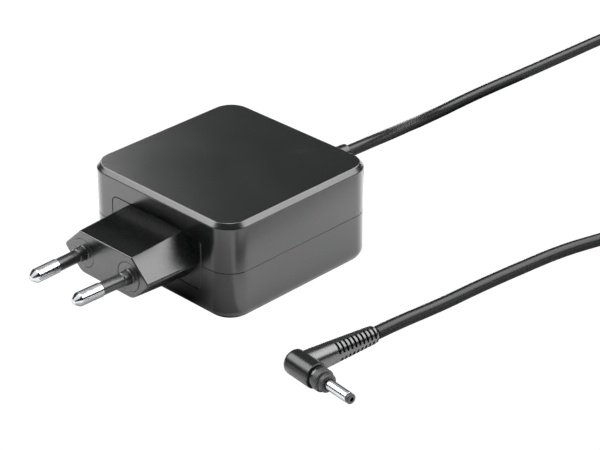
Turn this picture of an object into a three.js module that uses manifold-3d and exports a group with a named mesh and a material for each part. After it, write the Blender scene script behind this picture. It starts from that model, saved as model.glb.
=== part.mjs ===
// Wall-plug laptop power adapter: square brick, two-pin plug head, output cord and barrel plug.
// Millimetres, +Z up. The origin is the centre of the housing's flat underside; the mains pins
// point along -Y and the output cord leaves the +Y face.
import * as THREE from 'three';
import { mergeVertices } from 'three/addons/utils/BufferGeometryUtils.js';
import Module from 'manifold-3d';

const wasm = await Module();
wasm.setup();

// Housing
const BODY_X = 58;
const BODY_Y = 57;
const BODY_Z = 30.2;
const CORNER_R = 7.3;
const CHAMFER_IN = 1.2;
const CHAMFER_DROP = 1.45;
const FOOT_ROUND = 3.5;
const WALL = 2.2;
const PARTING_Z = 15.2;
const LIP_INSET = 3.6;
const LIP_TOP = 17.5;
const LIP_FOOT = 11;
const GAP = 0.3;
const FRONT_Y = -BODY_Y / 2;
const REAR_Y = BODY_Y / 2;

// Plug head: plate let into the housing, hexagonal block with the two pins
const PLATE_X = 36;
const PLATE_Z = 16;
const PLATE_R = 2;
const PLATE_DEPTH = 10;
const PLATE_AXIS_Z = 15.35;
const PLUG_AXIS_Z = 15.8;
const BLOCK_LENGTH = 18.5;
const BLOCK_X = 35.3;
const BLOCK_FLAT_X = 21.6;
const BLOCK_ROOT_HALF_Z = 7.4;
const BLOCK_FRONT_HALF_Z = 6.4;
const BLOCK_FRONT_TAPER_X = 0.98;
const PIN_SPACING = 18.6;
const PIN_TIP_SPACING = 17.5;
const PIN_LENGTH = 19;
const PIN_R = 2;
const PIN_CORE_R = 1.2;
const SLEEVE_R = 1.9;
const SLEEVE_LENGTH = 9.7;
const FLANGE_R = 4.25;
const FLANGE_PROUD = 0.3;
const FLANGE_DEPTH = 2.3;
const BLADE_X = 4;
const BLADE_THICK = 0.8;
const BLADE_TIP_Y = -10.2;
const WELL_WALL = 1.4;
const WELL_FRONT_Y = -26;
const WELL_REAR_Y = -14.5;

// Circuit board
const BOARD_X = 49;
const BOARD_FRONT_Y = -13.8;
const BOARD_REAR_Y = 24;
const BOARD_Z = 5.6;
const BOARD_THICK = 1.6;
const SEAT_Z = BOARD_Z + BOARD_THICK + GAP;
const POSTS = [[-20, -10], [20, -10], [-20, 20], [20, 20]];

// Parts on the board. Heights are above the board's upper side.
const FUSE_R = 2;
const FUSE_HALF_LENGTH = 4.5;
const THERMISTOR_R = 4;
const THERMISTOR_THICK = 3.2;
const DISC_R = 3.2;
const DISC_THICK = 3;
const CHOKE_X = -11.5;
const CHOKE_Y = -1.2;
const CHOKE_R = 4.8;
const CHOKE_NECK_R = 2;
const CHOKE_HEIGHT = 12;
const CHOKE_FLANGE = 1.4;
const BULK_CAN_R = 6.5;
const BULK_CAN_HEIGHT = 18.6;
const OUTPUT_CAN_R = 3.5;
const OUTPUT_CAN_HEIGHT = 14;
const PACKAGE_IN_X = 17.4;
const PACKAGE_OUT_X = 21.7;
const PACKAGE_HEIGHT = 8.5;
const TAB_THICK = 1.2;
const TAB_HEIGHT = 14.5;
const SINK_OUT_X = 23.6;
const SINK_IN_X = 15.6;
const SINK_THICK = 1.6;
const SINK_HEIGHT = 17.2;
const TRANSFORMER_X = -3;
const TRANSFORMER_Y = 13;
const CORE_HALF_X = 10;
const CORE_HALF_Y = 3;
const CORE_TOP_Z = 24;
const LEG_HALF_X = 2.6;
const WINDOW_OUT_X = 7.2;
const WINDOW_LOW = 10.8;
const WINDOW_HIGH = 21.2;
const SPREADER_Z = 27.1;
const SPREADER_THICK = 0.6;
const LEAD_R = 0.8;
const LEAD_X = 1.6;

// Strain relief
const RELIEF_FLANGE_R = 4.2;
const RELIEF_FLANGE_THICK = 2.1;
const RELIEF_WAIST_R = 3;
const RELIEF_ROOT_R = 3.9;
const RELIEF_TIP_R = 2.8;
const GLAND_HOLE_R = RELIEF_WAIST_R + GAP;

// Output cord and its coil
const CORD_R = 1.9;
const GLAND_Z = 15.6;
const GLAND_END_Y = 47.7;
const COIL_X = 63;
const COIL_Y = 162;
const COIL_IN_R = 13;
const COIL_OUT_R = 25.1;
const COIL_LOW_Z = 1.2;
const COIL_TOP_Z = 17;
const TIE_THICK = 0.9;

// Output plug, in its own frame: barrel along +X, boot along +Y
const DC_X = 59.6;
const DC_Y = -32.4;
const DC_TURN = -6.6;
const ELBOW_R = 3.65;
const ELBOW_FRONT = 7;
const BOOT_X = 0.4;
const BOOT_END = 25.2;
const BOOT_SLOTS = 9;
const SLOT_FIRST_Y = 11.6;
const SLOT_PITCH = 1.42;
const SLOT_WIDTH = 0.7;
const SLOT_HEIGHT = 3.6;
const SLOT_X = 2.95;
const SLOT_DRAW_IN = 0.075;
const NOSE_NECK_R = 2.2;
const NOSE_R = 3.2;
const NOSE_TIP_R = 2.6;
const NOSE_END = 11.8;
const BARREL_R = 1.5;
const BARREL_BORE_R = 1.15;
const BARREL_END = 19.8;

const OUT_ROUTE = [
  [0, 48, 15.6], [-0.3, 54, 15.2], [-1.4, 61, 14.2], [-3.6, 69.5, 12.3], [-6.6, 78, 9.9],
  [-9.7, 86, 7.5], [-12.5, 94, 5.2], [-14.7, 102, 3.5], [-16.1, 110, 2.4], [-16.8, 119, 2],
  [-16.8, 131, 1.95], [-16.1, 150, 1.95], [-15.4, 174, 1.95], [-14.6, 195, 1.95],
  [-12.8, 208, 1.95], [-7.3, 219, 1.95], [2, 226, 1.95], [14, 228.4, 1.95], [27, 226, 1.95],
  [39, 218.6, 2.1], [50, 207.8, 2.6], [59.5, 197.9, 3], [68.2, 189.2, 3.2],
];

const IN_ROUTE = [
  [85.9, 146.4, 14.3], [85.4, 134, 12.1], [84, 121, 8.6], [81, 108, 5], [77.3, 95, 2.6],
  [73.2, 82, 1.95], [68.8, 65.9, 1.95], [66.3, 48.5, 1.95], [64.5, 31, 1.95], [63.9, 21, 2.05],
  [63.6, 13, 2.5], [63.4, 5.5, 3.1], [63.2, -1, 3.5], [62.93, -7.05, 3.65],
];

const group = new THREE.Group();

// Merged copy of a geometry: one set of shared corners, no slivers, faces outwards.
function welded(geometry) {
  const bare = geometry.clone();
  bare.deleteAttribute('normal');
  bare.deleteAttribute('uv');
  const merged = mergeVertices(bare, 1e-4);
  const index = merged.index.array;
  const position = merged.attributes.position;
  const kept = [];
  const a = new THREE.Vector3();
  const b = new THREE.Vector3();
  const c = new THREE.Vector3();
  let volume = 0;
  for (let i = 0; i < index.length; i += 3) {
    const [p, q, r] = [index[i], index[i + 1], index[i + 2]];
    if (p === q || q === r || r === p) continue;
    kept.push([p, q, r]);
    a.fromBufferAttribute(position, p);
    b.fromBufferAttribute(position, q);
    c.fromBufferAttribute(position, r);
    volume += a.dot(b.cross(c));
  }
  const faces = volume < 0 ? kept.map(([p, q, r]) => [p, r, q]) : kept;
  merged.setIndex(faces.flat());
  return merged;
}

function toSolid(geometry) {
  const closed = welded(geometry);
  return new wasm.Manifold(new wasm.Mesh({
    numProp: 3,
    vertProperties: new Float32Array(closed.attributes.position.array),
    triVerts: new Uint32Array(closed.index.array),
  }));
}

function toGeometry(solid) {
  const mesh = solid.getMesh();
  const geometry = new THREE.BufferGeometry();
  geometry.setAttribute('position', new THREE.BufferAttribute(mesh.vertProperties, 3));
  geometry.setIndex(new THREE.BufferAttribute(mesh.triVerts, 1));
  return geometry;
}

function cut(geometry, ...tools) {
  const solid = tools.reduce((rest, tool) => rest.subtract(toSolid(tool)), toSolid(geometry));
  return toGeometry(solid);
}

function join(geometry, ...others) {
  const solid = others.reduce((whole, other) => whole.add(toSolid(other)), toSolid(geometry));
  return toGeometry(solid);
}

function common(geometry, ...others) {
  const solid = others.reduce((rest, other) => rest.intersect(toSolid(other)), toSolid(geometry));
  return toGeometry(solid);
}

function material(colour, roughness, metalness) {
  return new THREE.MeshStandardMaterial({ color: colour, roughness, metalness });
}

const housingPlastic = () => material(0x2e3030, 0.35, 0);
const plugPlastic = () => material(0x242525, 0.4, 0);
const softPlastic = () => material(0x1e1f1f, 0.5, 0);
const innerPlastic = () => material(0x3a3c3e, 0.6, 0);
const chrome = () => material(0xdfe1e4, 0.12, 1);
const copper = () => material(0xb87a45, 0.35, 1);
const aluminium = () => material(0xa9adb2, 0.4, 1);
const ferrite = () => material(0x35373a, 0.7, 0);

function place(name, geometry, surface, parent = group) {
  const mesh = new THREE.Mesh(welded(geometry), surface);
  mesh.name = name;
  parent.add(mesh);
}

// Rounded rectangle centred on the origin.
function roundedRect(width, height, radius) {
  const x = width / 2 - radius;
  const y = height / 2 - radius;
  const shape = new THREE.Shape();
  shape.absarc(x, y, radius, 0, Math.PI / 2);
  shape.absarc(-x, y, radius, Math.PI / 2, Math.PI);
  shape.absarc(-x, -y, radius, Math.PI, Math.PI * 1.5);
  shape.absarc(x, -y, radius, Math.PI * 1.5, Math.PI * 2);
  return shape;
}

function box(x0, x1, y0, y1, z0, z1) {
  const geometry = new THREE.BoxGeometry(x1 - x0, y1 - y0, z1 - z0);
  return geometry.translate((x0 + x1) / 2, (y0 + y1) / 2, (z0 + z1) / 2);
}

// A shape drawn in X and Y, extruded upwards from z0 to z1.
function upright(shape, z0, z1, curveSegments = 6) {
  const options = { depth: z1 - z0, bevelEnabled: false, curveSegments };
  return new THREE.ExtrudeGeometry(shape, options).translate(0, 0, z0);
}

// A shape drawn in X and Z, extruded along Y from y0 to y1.
function alongY(shape, y0, y1, curveSegments = 6) {
  const options = { depth: y1 - y0, bevelEnabled: false, curveSegments };
  return new THREE.ExtrudeGeometry(shape, options).rotateX(Math.PI / 2).translate(0, y1, 0);
}

// A shape drawn in Y and Z, extruded along X from x0 to x1.
function alongX(shape, x0, x1, curveSegments = 6) {
  const options = { depth: x1 - x0, bevelEnabled: false, curveSegments };
  const geometry = new THREE.ExtrudeGeometry(shape, options);
  return geometry.rotateX(Math.PI / 2).rotateZ(Math.PI / 2).translate(x0, 0, 0);
}

// Turned solids: profile points are [radius, distance along the axis].
function turned(profile, segments = 20) {
  const points = profile.map(([r, d]) => new THREE.Vector2(r, d));
  return new THREE.LatheGeometry(points, segments);
}

function turnedZ(profile, segments) {
  return turned(profile, segments).rotateX(Math.PI / 2);
}

function turnedX(profile, segments) {
  return turned(profile, segments).rotateZ(-Math.PI / 2);
}

function rod(radius, d0, d1) {
  return [[0, d0], [radius, d0], [radius, d1], [0, d1]];
}

function ring(inner, outer, d0, d1) {
  return [[inner, d0], [outer, d0], [outer, d1], [inner, d1], [inner, d0]];
}

function polygon(points) {
  return new THREE.Shape(points.map(([x, y]) => new THREE.Vector2(x, y)));
}

function tube(points, radius, steps) {
  const curve = new THREE.CatmullRomCurve3(points.map((p) => new THREE.Vector3(...p)));
  const section = new THREE.Shape();
  section.absarc(0, 0, radius, 0, Math.PI * 2);
  return new THREE.ExtrudeGeometry(section, { steps, curveSegments: 4, extrudePath: curve });
}

// Outer form of the whole housing: vertical sides, chamfered top edge, rounded foot.
function housingForm() {
  const outline = roundedRect(BODY_X, BODY_Y, CORNER_R);
  const chamfered = new THREE.ExtrudeGeometry(outline, {
    depth: BODY_Z, bevelSize: CHAMFER_IN, bevelOffset: -CHAMFER_IN,
    bevelThickness: CHAMFER_DROP, bevelSegments: 1, curveSegments: 6,
  }).translate(0, 0, -CHAMFER_DROP);
  const footed = new THREE.ExtrudeGeometry(outline, {
    depth: BODY_Z, bevelSize: FOOT_ROUND, bevelOffset: -FOOT_ROUND,
    bevelThickness: FOOT_ROUND, bevelSegments: 4, curveSegments: 6,
  }).translate(0, 0, FOOT_ROUND);
  return common(chamfered, footed);
}

function cavity(inset, z0, z1) {
  const outline = roundedRect(BODY_X - 2 * inset, BODY_Y - 2 * inset, CORNER_R - inset);
  return upright(outline, z0, z1, 5);
}

// Openings that the two housing halves share: the plug head's window and room for the well,
// and the strain relief's hole with room for its inner flange.
function housingOpenings() {
  const window = roundedRect(PLATE_X + 2 * GAP, PLATE_Z + 2 * GAP, PLATE_R + GAP);
  const gland = rod(GLAND_HOLE_R, REAR_Y - 6, REAR_Y + 2);
  const wellX = PLATE_X / 2 + GAP + WELL_WALL + GAP;
  const wellZ = PLATE_Z / 2 + GAP + WELL_WALL + GAP;
  return [
    alongY(window, FRONT_Y - 1, FRONT_Y + 5).translate(0, 0, PLATE_AXIS_Z),
    box(-wellX, wellX, FRONT_Y + WALL, FRONT_Y + 9, PLATE_AXIS_Z - wellZ, PLATE_AXIS_Z + wellZ),
    turned(gland, 20).translate(0, 0, GLAND_Z),
    box(-5, 5, REAR_Y - 8, REAR_Y - WALL, GLAND_Z - 5, GLAND_Z + 5),
  ];
}

function topHousing() {
  const half = box(-40, 40, -40, 40, PARTING_Z + GAP / 2, BODY_Z + 5);
  const hollow = cavity(WALL, PARTING_Z - 5, BODY_Z - WALL);
  const shell = cut(common(housingForm(), half), hollow, ...housingOpenings());
  place('top_housing', shell, housingPlastic());
}

// The lower half carries the locating lip that stands inside the upper half, and four posts.
function bottomHousing() {
  const half = box(-40, 40, -40, 40, -1, PARTING_Z - GAP / 2);
  const lip = cavity(WALL + GAP, LIP_FOOT, LIP_TOP);
  const hollows = [cavity(WALL, WALL, LIP_FOOT), cavity(LIP_INSET, LIP_FOOT - 1, LIP_TOP + 1)];
  const shell = cut(join(common(housingForm(), half), lip), ...hollows, ...housingOpenings());
  const posts = POSTS.map(([x, y]) => (
    turnedZ(rod(2, WALL - 0.5, BOARD_Z - GAP), 12).translate(x, y, 0)
  ));
  place('bottom_housing', join(shell, ...posts), housingPlastic());
}

// Moulded well behind the window that guides the plug head, with two slots for its blades.
function socketWell() {
  const inner = roundedRect(PLATE_X + 2 * GAP, PLATE_Z + 2 * GAP, PLATE_R + GAP);
  const outer = roundedRect(PLATE_X + 2 * (GAP + WELL_WALL), PLATE_Z + 2 * (GAP + WELL_WALL), 3.5);
  const block = alongY(outer, WELL_FRONT_Y, WELL_REAR_Y);
  const hollow = alongY(inner, WELL_FRONT_Y - 1, WELL_REAR_Y - 2.5);
  const slots = [-1, 1].map((side) => {
    const x = side * PIN_SPACING / 2;
    return box(x - BLADE_X / 2 - 0.5, x + BLADE_X / 2 + 0.5, -20, -10, -0.8, 0.8);
  });
  place('socket_well', cut(block, hollow, ...slots).translate(0, 0, PLATE_AXIS_Z), innerPlastic());
}

// Forked spring that grips a blade of the plug head and stands on the board.
function socketSprings() {
  const fork = polygon([
    [-14, -1.35], [-9.6, -1.35], [-9.6, SEAT_Z - PLATE_AXIS_Z], [-8.9, SEAT_Z - PLATE_AXIS_Z],
    [-8.9, 1.35], [-14, 1.35], [-14, 0.7], [-9.6, 0.7], [-9.6, -0.7], [-14, -0.7],
  ]);
  for (const [name, side] of [['left', -1], ['right', 1]]) {
    const x = side * PIN_SPACING / 2;
    const spring = alongX(fork, x - BLADE_X / 2, x + BLADE_X / 2);
    place(`socket_spring_${name}`, spring.translate(0, 0, PLATE_AXIS_Z), copper());
  }
}

// Hexagonal section of the block, flat above and below, with rounded corners.
function hexagon(width, flat, halfHeight) {
  const corners = [
    [flat / 2, halfHeight, 0.3], [-flat / 2, halfHeight, 0.3], [-width / 2, 0, 0.8],
    [-flat / 2, -halfHeight, 2], [flat / 2, -halfHeight, 2], [width / 2, 0, 0.8],
  ];
  const shape = new THREE.Shape();
  corners.forEach(([x, z, round], i) => {
    const corner = new THREE.Vector2(x, z);
    const before = new THREE.Vector2(...corners[(i + 5) % 6].slice(0, 2));
    const after = new THREE.Vector2(...corners[(i + 1) % 6].slice(0, 2));
    const from = before.sub(corner).setLength(round).add(corner);
    const to = after.sub(corner).setLength(round).add(corner);
    if (i === 0) shape.moveTo(from.x, from.y);
    else shape.lineTo(from.x, from.y);
    shape.quadraticCurveTo(corner.x, corner.y, to.x, to.y);
  });
  shape.closePath();
  return shape;
}

// A pin's own frame: its axis is Y, tilted so that the tips stand closer than the roots.
function pinTilt(geometry, side) {
  const rootX = side * PIN_SPACING / 2;
  const lean = Math.atan((PIN_SPACING - PIN_TIP_SPACING) / 2 / PIN_LENGTH);
  return geometry.rotateZ(side * lean).translate(rootX, FRONT_Y - BLOCK_LENGTH, PLUG_AXIS_Z);
}

// The block tapers a little from the plate to its front face, so that it leaves its mould.
function draftedBlock() {
  const outline = hexagon(BLOCK_X, BLOCK_FLAT_X, BLOCK_ROOT_HALF_Z);
  const block = alongY(outline, FRONT_Y - BLOCK_LENGTH, FRONT_Y + 1, 4);
  const corners = block.attributes.position;
  for (let i = 0; i < corners.count; i += 1) {
    if (corners.getY(i) > FRONT_Y) continue;
    corners.setX(i, corners.getX(i) * BLOCK_FRONT_TAPER_X);
    corners.setZ(i, corners.getZ(i) * BLOCK_FRONT_HALF_Z / BLOCK_ROOT_HALF_Z);
  }
  return block.translate(0, 0, PLUG_AXIS_Z);
}

function plugHeadBody() {
  const plate = alongY(roundedRect(PLATE_X, PLATE_Z, PLATE_R), FRONT_Y, FRONT_Y + PLATE_DEPTH);
  const block = join(draftedBlock(), plate.translate(0, 0, PLATE_AXIS_Z));
  const pocket = alongY(roundedRect(PLATE_X - 4, PLATE_Z - 3.5, 1.5), FRONT_Y + 2, FRONT_Y + 12);
  const seats = [-1, 1].flatMap((side) => [
    pinTilt(turned(rod(FLANGE_R + GAP, -2, FLANGE_DEPTH), 28), side),
    pinTilt(turned(rod(2.7, -2, 25), 16), side),
  ]);
  const body = cut(block, pocket.translate(0, 0, PLATE_AXIS_Z), ...seats);
  place('plug_head_body', body, plugPlastic());
}

function plugHeadCover() {
  const outline = roundedRect(PLATE_X - 4 - 2 * GAP, PLATE_Z - 3.5 - 2 * GAP, 1.2);
  const rear = FRONT_Y + PLATE_DEPTH;
  const slots = [-1, 1].map((side) => {
    const x = side * PIN_SPACING / 2;
    return box(x - BLADE_X / 2 - 0.4, x + BLADE_X / 2 + 0.4, rear - 4, rear + 2, -0.8, 0.8);
  });
  const cover = cut(alongY(outline, rear - 1.5, rear), ...slots);
  place('plug_head_back_cover', cover.translate(0, 0, PLATE_AXIS_Z), plugPlastic());
}

// Chromed pin: full thickness at the bare end, thinner core inside the insulating sleeve.
function mainsPins() {
  const coreEnd = BLOCK_LENGTH + 3;
  const shoulder = -SLEEVE_LENGTH - GAP;
  const profile = [
    [0, -PIN_LENGTH], [0.75, -PIN_LENGTH + 0.15], [1.4, -PIN_LENGTH + 0.65],
    [1.85, -PIN_LENGTH + 1.4], [PIN_R, -PIN_LENGTH + 2.3], [PIN_R, shoulder],
    [PIN_CORE_R, shoulder], [PIN_CORE_R, coreEnd], [0, coreEnd],
  ];
  for (const [name, side] of [['left', -1], ['right', 1]]) {
    place(`mains_pin_${name}`, pinTilt(turned(profile), side), chrome());
  }
}

function pinSleeves() {
  const bore = PIN_CORE_R + GAP;
  const profile = [
    [bore, -SLEEVE_LENGTH], [SLEEVE_R, -SLEEVE_LENGTH], [SLEEVE_R, -FLANGE_PROUD],
    [FLANGE_R, -FLANGE_PROUD], [FLANGE_R, FLANGE_DEPTH - GAP], [2.4, FLANGE_DEPTH - GAP],
    [2.4, 12], [bore, 12], [bore, -SLEEVE_LENGTH],
  ];
  for (const [name, side] of [['left', -1], ['right', 1]]) {
    place(`pin_sleeve_${name}`, pinTilt(turned(profile, 24), side), softPlastic());
  }
}

// Bent strip behind each pin; its tongue runs through the cover as a contact blade.
function contactBlades() {
  const face = FRONT_Y + 3 + GAP;
  const half = BLADE_THICK / 2;
  const strip = polygon([
    [face, -half], [BLADE_TIP_Y, -half], [BLADE_TIP_Y, half], [face + BLADE_THICK, half],
    [face + BLADE_THICK, 3], [face, 3],
  ]);
  for (const [name, side] of [['left', -1], ['right', 1]]) {
    const x = side * PIN_SPACING / 2;
    const blade = alongX(strip, x - BLADE_X / 2, x + BLADE_X / 2);
    place(`contact_blade_${name}`, blade.translate(0, 0, PLATE_AXIS_Z), copper());
  }
}

function boardAndSheet() {
  const holes = POSTS.map(([x, y]) => turnedZ(rod(2.5, 0, 6), 12).translate(x, y, 0));
  const sheet = box(-23, 23, BOARD_FRONT_Y + 0.3, BOARD_REAR_Y - 0.5, 2.6, 3);
  place('insulation_sheet', cut(sheet, ...holes), material(0xd8cf9a, 0.6, 0));
  const shape = roundedRect(BOARD_X, BOARD_REAR_Y - BOARD_FRONT_Y, 2);
  const board = upright(shape, BOARD_Z, BOARD_Z + BOARD_THICK, 3);
  const middle = (BOARD_FRONT_Y + BOARD_REAR_Y) / 2;
  place('circuit_board', board.translate(0, middle, 0), material(0x4f6b3a, 0.5, 0));
}

function can(name, radius, height, x, y, colour) {
  const profile = [
    [0, 0], [radius - 0.3, 0], [radius, 0.4], [radius, 1.4], [radius - 0.35, 1.8],
    [radius, 2.2], [radius, height - 0.4], [radius - 0.4, height], [0, height],
  ];
  place(name, turnedZ(profile, 20).translate(x, y, SEAT_Z), material(colour, 0.35, 0));
}

function mainsSideParts() {
  const tube = rod(FUSE_R, -FUSE_HALF_LENGTH, FUSE_HALF_LENGTH);
  const fuse = turnedX(tube, 14).translate(-18, -10.8, SEAT_Z + FUSE_R);
  place('fuse', fuse, material(0xc9c2ae, 0.4, 0));
  const disc = rod(THERMISTOR_R, -THERMISTOR_THICK / 2, THERMISTOR_THICK / 2);
  const thermistor = turned(disc, 18).translate(18, -10.9, SEAT_Z + THERMISTOR_R + 0.2);
  place('inrush_thermistor', thermistor, material(0x2f5d46, 0.5, 0));
  const suppressor = box(-24, -17.5, -7.5, 5.5, SEAT_Z, SEAT_Z + 11);
  place('suppression_capacitor', suppressor, material(0xc9a227, 0.5, 0));
  const upper = CHOKE_HEIGHT - CHOKE_FLANGE;
  const spool = [
    [0, 0], [CHOKE_R, 0], [CHOKE_R, CHOKE_FLANGE], [CHOKE_NECK_R, CHOKE_FLANGE],
    [CHOKE_NECK_R, upper], [CHOKE_R, upper], [CHOKE_R, CHOKE_HEIGHT], [0, CHOKE_HEIGHT],
  ];
  const core = turnedZ(spool, 20).translate(CHOKE_X, CHOKE_Y, SEAT_Z);
  place('line_choke_core', core, ferrite());
  const turns = ring(CHOKE_NECK_R + GAP, CHOKE_R - GAP, CHOKE_FLANGE + GAP, upper - GAP);
  const wire = turnedZ(turns, 20).translate(CHOKE_X, CHOKE_Y, SEAT_Z);
  place('line_choke_winding', wire, copper());
  const bridge = polygon([[-5, 0], [5, 0], [5, 6.5], [3.5, 8], [-5, 8]]);
  const rectifier = alongY(bridge, -7.4, -4.2).translate(1.5, 0, SEAT_Z);
  place('bridge_rectifier', rectifier, material(0x232426, 0.5, 0));
  can('bulk_capacitor', BULK_CAN_R, BULK_CAN_HEIGHT, 16.8, -0.2, 0x2b3350);
}

// Transistor or diode in a tab package, with its mounting tab above the moulded body.
function tabPackage(side) {
  const near = side * PACKAGE_IN_X;
  const far = side * PACKAGE_OUT_X;
  const tab = side * (PACKAGE_OUT_X - TAB_THICK);
  const top = SEAT_Z + PACKAGE_HEIGHT;
  return join(
    box(Math.min(near, far), Math.max(near, far), 10, 20, SEAT_Z, top),
    box(Math.min(tab, far), Math.max(tab, far), 10, 20, top - 0.5, SEAT_Z + TAB_HEIGHT),
  );
}

// Bent aluminium plate: upright wall with a short shelf at the top.
function heatSink(side) {
  const inside = SINK_OUT_X - SINK_THICK;
  const shelf = SINK_HEIGHT - SINK_THICK;
  const wall = polygon([
    [SINK_OUT_X, 0], [inside, 0], [inside, shelf], [SINK_IN_X, shelf], [SINK_IN_X, SINK_HEIGHT],
    [SINK_OUT_X, SINK_HEIGHT],
  ].map(([x, z]) => [side * x, z]));
  return alongY(wall, 8, 22).translate(0, 0, SEAT_Z);
}

function powerParts() {
  place('switching_transistor', tabPackage(-1), material(0x1f2022, 0.5, 0));
  place('primary_heat_sink', heatSink(-1), aluminium());
  place('output_rectifier', tabPackage(1), material(0x1f2022, 0.5, 0));
  place('secondary_heat_sink', heatSink(1), aluminium());
}

function rectRing(outerX, outerY, innerX, innerY, radius) {
  const shape = roundedRect(outerX, outerY, radius);
  shape.holes.push(roundedRect(innerX, innerY, 0.5));
  return shape;
}

// Two-window ferrite core, bobbin around its middle leg and the winding on the bobbin.
function transformer() {
  const depth = CORE_HALF_Y + 2;
  const windows = [
    box(-WINDOW_OUT_X, -LEG_HALF_X, -depth, depth, WINDOW_LOW, WINDOW_HIGH),
    box(LEG_HALF_X, WINDOW_OUT_X, -depth, depth, WINDOW_LOW, WINDOW_HIGH),
  ];
  const block = box(
    -CORE_HALF_X, CORE_HALF_X, -CORE_HALF_Y, CORE_HALF_Y, SEAT_Z + 0.5, CORE_TOP_Z,
  );
  const core = cut(block, ...windows);
  place('transformer_core', core.translate(TRANSFORMER_X, TRANSFORMER_Y, 0), ferrite());
  const low = WINDOW_LOW + GAP;
  const high = WINDOW_HIGH - GAP;
  const bobbin = join(
    upright(rectRing(7.6, 8.4, 5.9, 6.7, 1), low, high, 2),
    upright(rectRing(13.6, 14.6, 5.9, 6.7, 2), low, low + 0.9, 2),
    upright(rectRing(13.6, 14.6, 5.9, 6.7, 2), high - 0.9, high, 2),
  );
  place('transformer_bobbin', bobbin.translate(TRANSFORMER_X, TRANSFORMER_Y, 0), innerPlastic());
  const winding = upright(rectRing(12.8, 13.8, 8.2, 9, 2.5), low + 1.2, high - 1.2, 4);
  place('transformer_winding', winding.translate(TRANSFORMER_X, TRANSFORMER_Y, 0), copper());
}

function outputSideParts() {
  const disc = turned(rod(DISC_R, -DISC_THICK / 2, DISC_THICK / 2), 16);
  place('safety_capacitor', disc.translate(-13.4, 18.6, SEAT_Z + DISC_R + 0.2), material(0x2c6da3, 0.5, 0));
  can('output_capacitor_1', OUTPUT_CAN_R, OUTPUT_CAN_HEIGHT, 11.6, 11.2, 0x26303a);
  can('output_capacitor_2', OUTPUT_CAN_R, OUTPUT_CAN_HEIGHT, 11.6, 19, 0x26303a);
  const below = BOARD_Z - GAP;
  const coupler = box(3, 7.6, 8, 14.5, below - 1.9, below);
  place('optocoupler', coupler, material(0xd9d9d4, 0.5, 0));
  const controller = box(-12, -8, 6, 11, below - 1.5, below);
  place('controller_ic', controller, material(0x1c1d1f, 0.5, 0));
  const sheet = roundedRect(40, 34, 2);
  const spreader = upright(sheet, SPREADER_Z, SPREADER_Z + SPREADER_THICK, 2);
  place('heat_spreader', spreader.translate(0, 5, 0), aluminium());
}

function outputLeads() {
  for (const [name, side, colour] of [['positive', 1, 0xb02a24], ['negative', -1, 0x1b1b1b]]) {
    const x = side * LEAD_X;
    const route = [
      [x, 22.3, SEAT_Z], [x, 22.1, 10], [x, 22, 13], [x, 22.6, 15], [x, 23.6, GLAND_Z],
    ];
    place(`output_lead_${name}`, tube(route, LEAD_R, 8), material(colour, 0.5, 0));
  }
}

// Moulded strain relief: flange inside the wall, waist in the wall, tapered sleeve outside.
function strainRelief() {
  const wallIn = REAR_Y - WALL - GAP;
  const flange = wallIn - RELIEF_FLANGE_THICK;
  const profile = [
    [0, flange], [RELIEF_FLANGE_R, flange], [RELIEF_FLANGE_R, wallIn], [RELIEF_WAIST_R, wallIn],
    [RELIEF_WAIST_R, REAR_Y + GAP], [RELIEF_ROOT_R, REAR_Y + GAP],
    [RELIEF_ROOT_R - 0.2, REAR_Y + 3], [RELIEF_TIP_R, GLAND_END_Y - 1],
    [RELIEF_TIP_R - 0.4, GLAND_END_Y], [0, GLAND_END_Y],
  ];
  place('strain_relief', turned(profile, 24).translate(0, 0, GLAND_Z), softPlastic());
}

function cord() {
  place('cord_from_housing', tube(OUT_ROUTE, CORD_R, 56), softPlastic());
  place('cord_to_plug', tube(IN_ROUTE, CORD_R, 36), softPlastic());
  const coil = turnedZ(ring(COIL_IN_R, COIL_OUT_R, COIL_LOW_Z, COIL_TOP_Z), 40);
  place('cord_coil', coil.translate(COIL_X, COIL_Y, 0), softPlastic());
  coilTie();
}

// Strap around the coil's bundle; its opening allows for the bend of the coil on the inner side.
function coilTie() {
  const innerSide = COIL_IN_R - 1;
  const outerSide = COIL_OUT_R + GAP;
  const width = outerSide - innerSide;
  const height = COIL_TOP_Z - COIL_LOW_Z + 2 * GAP;
  const strap = roundedRect(width + 2 * TIE_THICK, height + 2 * TIE_THICK, 1.2);
  strap.holes.push(roundedRect(width, height, 0.3));
  const tie = alongY(strap, -4, 4, 3);
  const middle = (innerSide + outerSide) / 2;
  tie.translate(COIL_X - middle, COIL_Y, (COIL_LOW_Z + COIL_TOP_Z) / 2);
  place('cord_tie', tie, material(0x161616, 0.9, 0));
}

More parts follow.
